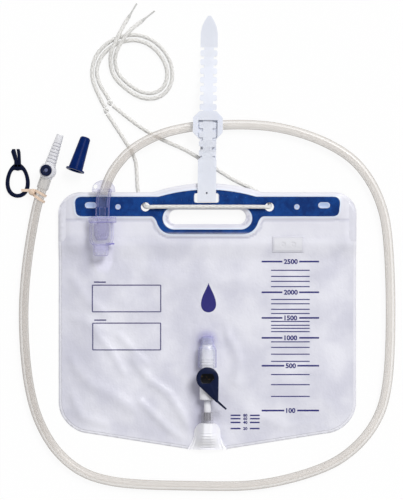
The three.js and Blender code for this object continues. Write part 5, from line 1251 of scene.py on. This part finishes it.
septum = make_piece("sample_port_plug", *septum_shell, septum_finish, "septum_grey", ["sample_port_septum"])
soft_finish = clear_plastic("clear_sleeve", tint(238, 236, 234), tint(186, 182, 180), 0.4, 0.7, 0.3)
sleeve_rows = round_rows([(5.1, -8.1), (6.15, -8.1), (6.15, -18.6), (5.75, -19.6), (5.1, -19.6)])
sleeve_shell = on_connector(loft(sleeve_rows, 0, 0))
sleeve = make_piece("connector_sleeve_soft", *sleeve_shell, soft_finish, "clear_tube", ["connector_sleeve"])

# Cap: navy-blue polyethylene, a thin tapered cup with a flange round its mouth. It was pulled off the
# connector and lies beside it on its rim and tip.
CAP_PLACE = (-132.9, 82.5)
CAP_TURN = -0.304
CAP_LENGTH = 36.9
CAP_RIM = 9.9
CAP_TIP = 5.4
CAP_FLANGE = 1.6

cap_finish = mottled("cap_blue", tint(6, 30, 90), 0.3, 8, tint(1, 22, 76), tint(7, 40, 106), 3,
                     Specular_IOR_Level=0.05)
cap_finish.bump(cap_finish.noise(0.8, 2), 0.04)
cap_lean = np.arctan2(CAP_RIM - CAP_TIP, CAP_LENGTH - 1.2 - CAP_FLANGE)
cap_rows = [(4.1, 35.3), (6.4, 0), (CAP_RIM, 0), (CAP_RIM, CAP_FLANGE), (7.6, CAP_FLANGE), (CAP_TIP, 35.7)]
cap_rows += [(4.2, CAP_LENGTH)]
cap_points, cap_faces = loft(round_rows(cap_rows), 0, 0, size=0.5, closed=False)
cap_points = turned_about(cap_points, -cap_lean, 1, 2)
cap_points = turned_about(cap_points, CAP_TURN, 0, 1)
cap_x = CAP_PLACE[0] + np.sin(CAP_TURN) * CAP_LENGTH / 2
cap_y = CAP_PLACE[1] - np.cos(CAP_TURN) * CAP_LENGTH / 2
cap_points[:, :3] += (cap_x, cap_y, CAP_RIM * np.cos(cap_lean) + CAP_FLANGE * np.sin(cap_lean))
make_piece("connector_cap_blue", cap_points, cap_faces, cap_finish, "cap_blue", ["connector_cap"])

# Sheet clip: black-navy nylon, an egg-shaped ring with a pair of springy prongs, moulded in one, and
# the tan rubber band that holds it to the tube: two turns, a knot and a hook.
CLIP = (-199, 55)
CLIP_THICK = 3.6
EGG_HALF = 12.8
EGG_TALL = 18.2

clip_finish = mottled("clip_navy", tint(9, 15, 38), 0.42, 6, tint(6, 11, 30), tint(18, 26, 58), 3,
                      Specular_IOR_Level=0.06)
clip_finish.bump(clip_finish.noise(0.6, 2), 0.05)


def egg(inset, count=72):
    """The ring's outline: an ellipse, wider below its middle, anticlockwise from its right side."""
    angle = circle(count)
    half = (EGG_HALF - inset) * (1 - 0.16 * np.sin(angle) - 0.02 * np.cos(2 * angle))
    tall = EGG_TALL - inset * (1 + 0.9 * np.maximum(np.sin(angle), 0) ** 6)
    return np.stack([CLIP[0] + half * np.cos(angle), CLIP[1] + tall * np.sin(angle)], axis=1)


ring_rows = [(4.2, 0.8), (3.9, 0.2), (3.4, 0), (0.8, 0), (0.3, 0.2), (0, 0.8)]
ring_rows += [(inset, CLIP_THICK - level) for inset, level in ring_rows[::-1]]
ring_shell = slab([egg(inset) for inset, _ in ring_rows], [level for _, level in ring_rows], ring=True)
left_prong = [(-3.6, 14), (-0.02, 14), (-0.2, 24), (-2.6, 33), (-5.6, 33), (-6.9, 30), (-3.6, 20)]
right_prong = [(3.6, 14), (3.4, 20), (2.9, 30), (1.9, 33), (-1.1, 33), (0.1, 24), (0.02, 14)]
prongs = [soft_slab(np.array(loop) + CLIP, 0.0, CLIP_THICK, 0.5) for loop in (left_prong, right_prong)]
clip = make_piece("sheet_clip_navy", *joined(ring_shell, *prongs), clip_finish, "clip_navy", ["sheet_clip"])

band_finish = mottled("band_tan", tint(230, 205, 182), 0.7, 2.5, tint(212, 184, 160), tint(242, 222, 204), 3,
                      Specular_IOR_Level=0.25)
band_finish.bump(band_finish.noise(1.2, 2), 0.1)
band = dress("elastic_band", band_finish)

# Table and light: a plain white table that keeps a soft shadow, a soft lamp from the upper right and
# an even sky, dimmer straight above, at a level at which a colour renders about as it is written.
TABLE_Z = -0.1
TABLE_GLOW = 0.91
SKY = 0.58
ZENITH = 0.15
LAMP = 1.9
CLEAR_LAYERS = 40

table_finish = mottled("table", tint(250, 250, 250), 0.9, 120, tint(249, 249, 249), tint(252, 252, 252),
                       Specular_IOR_Level=0.0)
camera_ray, glossy_ray, clear_ray = (table_finish.node("ShaderNodeLightPath", out=f"Is {kind} Ray")
                                     for kind in ("Camera", "Glossy", "Transmission"))
seen = camera_ray.larger(glossy_ray).larger(clear_ray)
glow = table_finish.node("ShaderNodeEmission", {}, {"Color": (1, 1, 1, 1), "Strength": 1.0})
shaders = {"Fac": TABLE_GLOW * seen, 1: Term(table_finish, table_finish.shader.outputs[0]), 2: glow}
surface_mix = table_finish.node("ShaderNodeMixShader", {}, shaders)
table_finish.feed(table_finish.tree.nodes["Material Output"].inputs["Surface"], surface_mix)
table_mesh = bpy.data.meshes.new("table")
table_corners = [(x, y, TABLE_Z * MM) for x, y in ((-3, -3), (3, -3), (3, 3), (-3, 3))]
table_mesh.from_pydata(table_corners, [], [(0, 1, 2, 3)])
table_mesh.materials.append(table_finish.material)
table = bpy.data.objects.new("table", table_mesh)
bpy.context.scene.collection.objects.link(table)

lamp_data = bpy.data.lights.new("lamp", "SUN")
lamp_data.energy = LAMP
lamp_data.angle = np.radians(24)
lamp = bpy.data.objects.new("lamp", lamp_data)
lamp.rotation_euler = (np.radians(-30), np.radians(26), 0)
bpy.context.scene.collection.objects.link(lamp)

world = bpy.data.worlds.new("sky")
world.use_nodes = True
nodes, links = world.node_tree.nodes, world.node_tree.links
direction = nodes.new("ShaderNodeTexCoord")
split = nodes.new("ShaderNodeSeparateXYZ")
ramp = nodes.new("ShaderNodeMapRange")
ramp.interpolation_type = "SMOOTHSTEP"
for socket, value in (("From Min", 0.86), ("From Max", 0.99), ("To Min", SKY), ("To Max", ZENITH)):
    ramp.inputs[socket].default_value = value
links.new(direction.outputs["Generated"], split.inputs[0])
links.new(split.outputs["Z"], ramp.inputs["Value"])
links.new(ramp.outputs[0], nodes["Background"].inputs["Strength"])
nodes["Background"].inputs["Color"].default_value = (1, 1, 1, 1)
bpy.context.scene.world = world
bpy.context.scene.view_settings.view_transform = "Standard"
bpy.context.scene.cycles.transparent_max_bounces = CLEAR_LAYERS
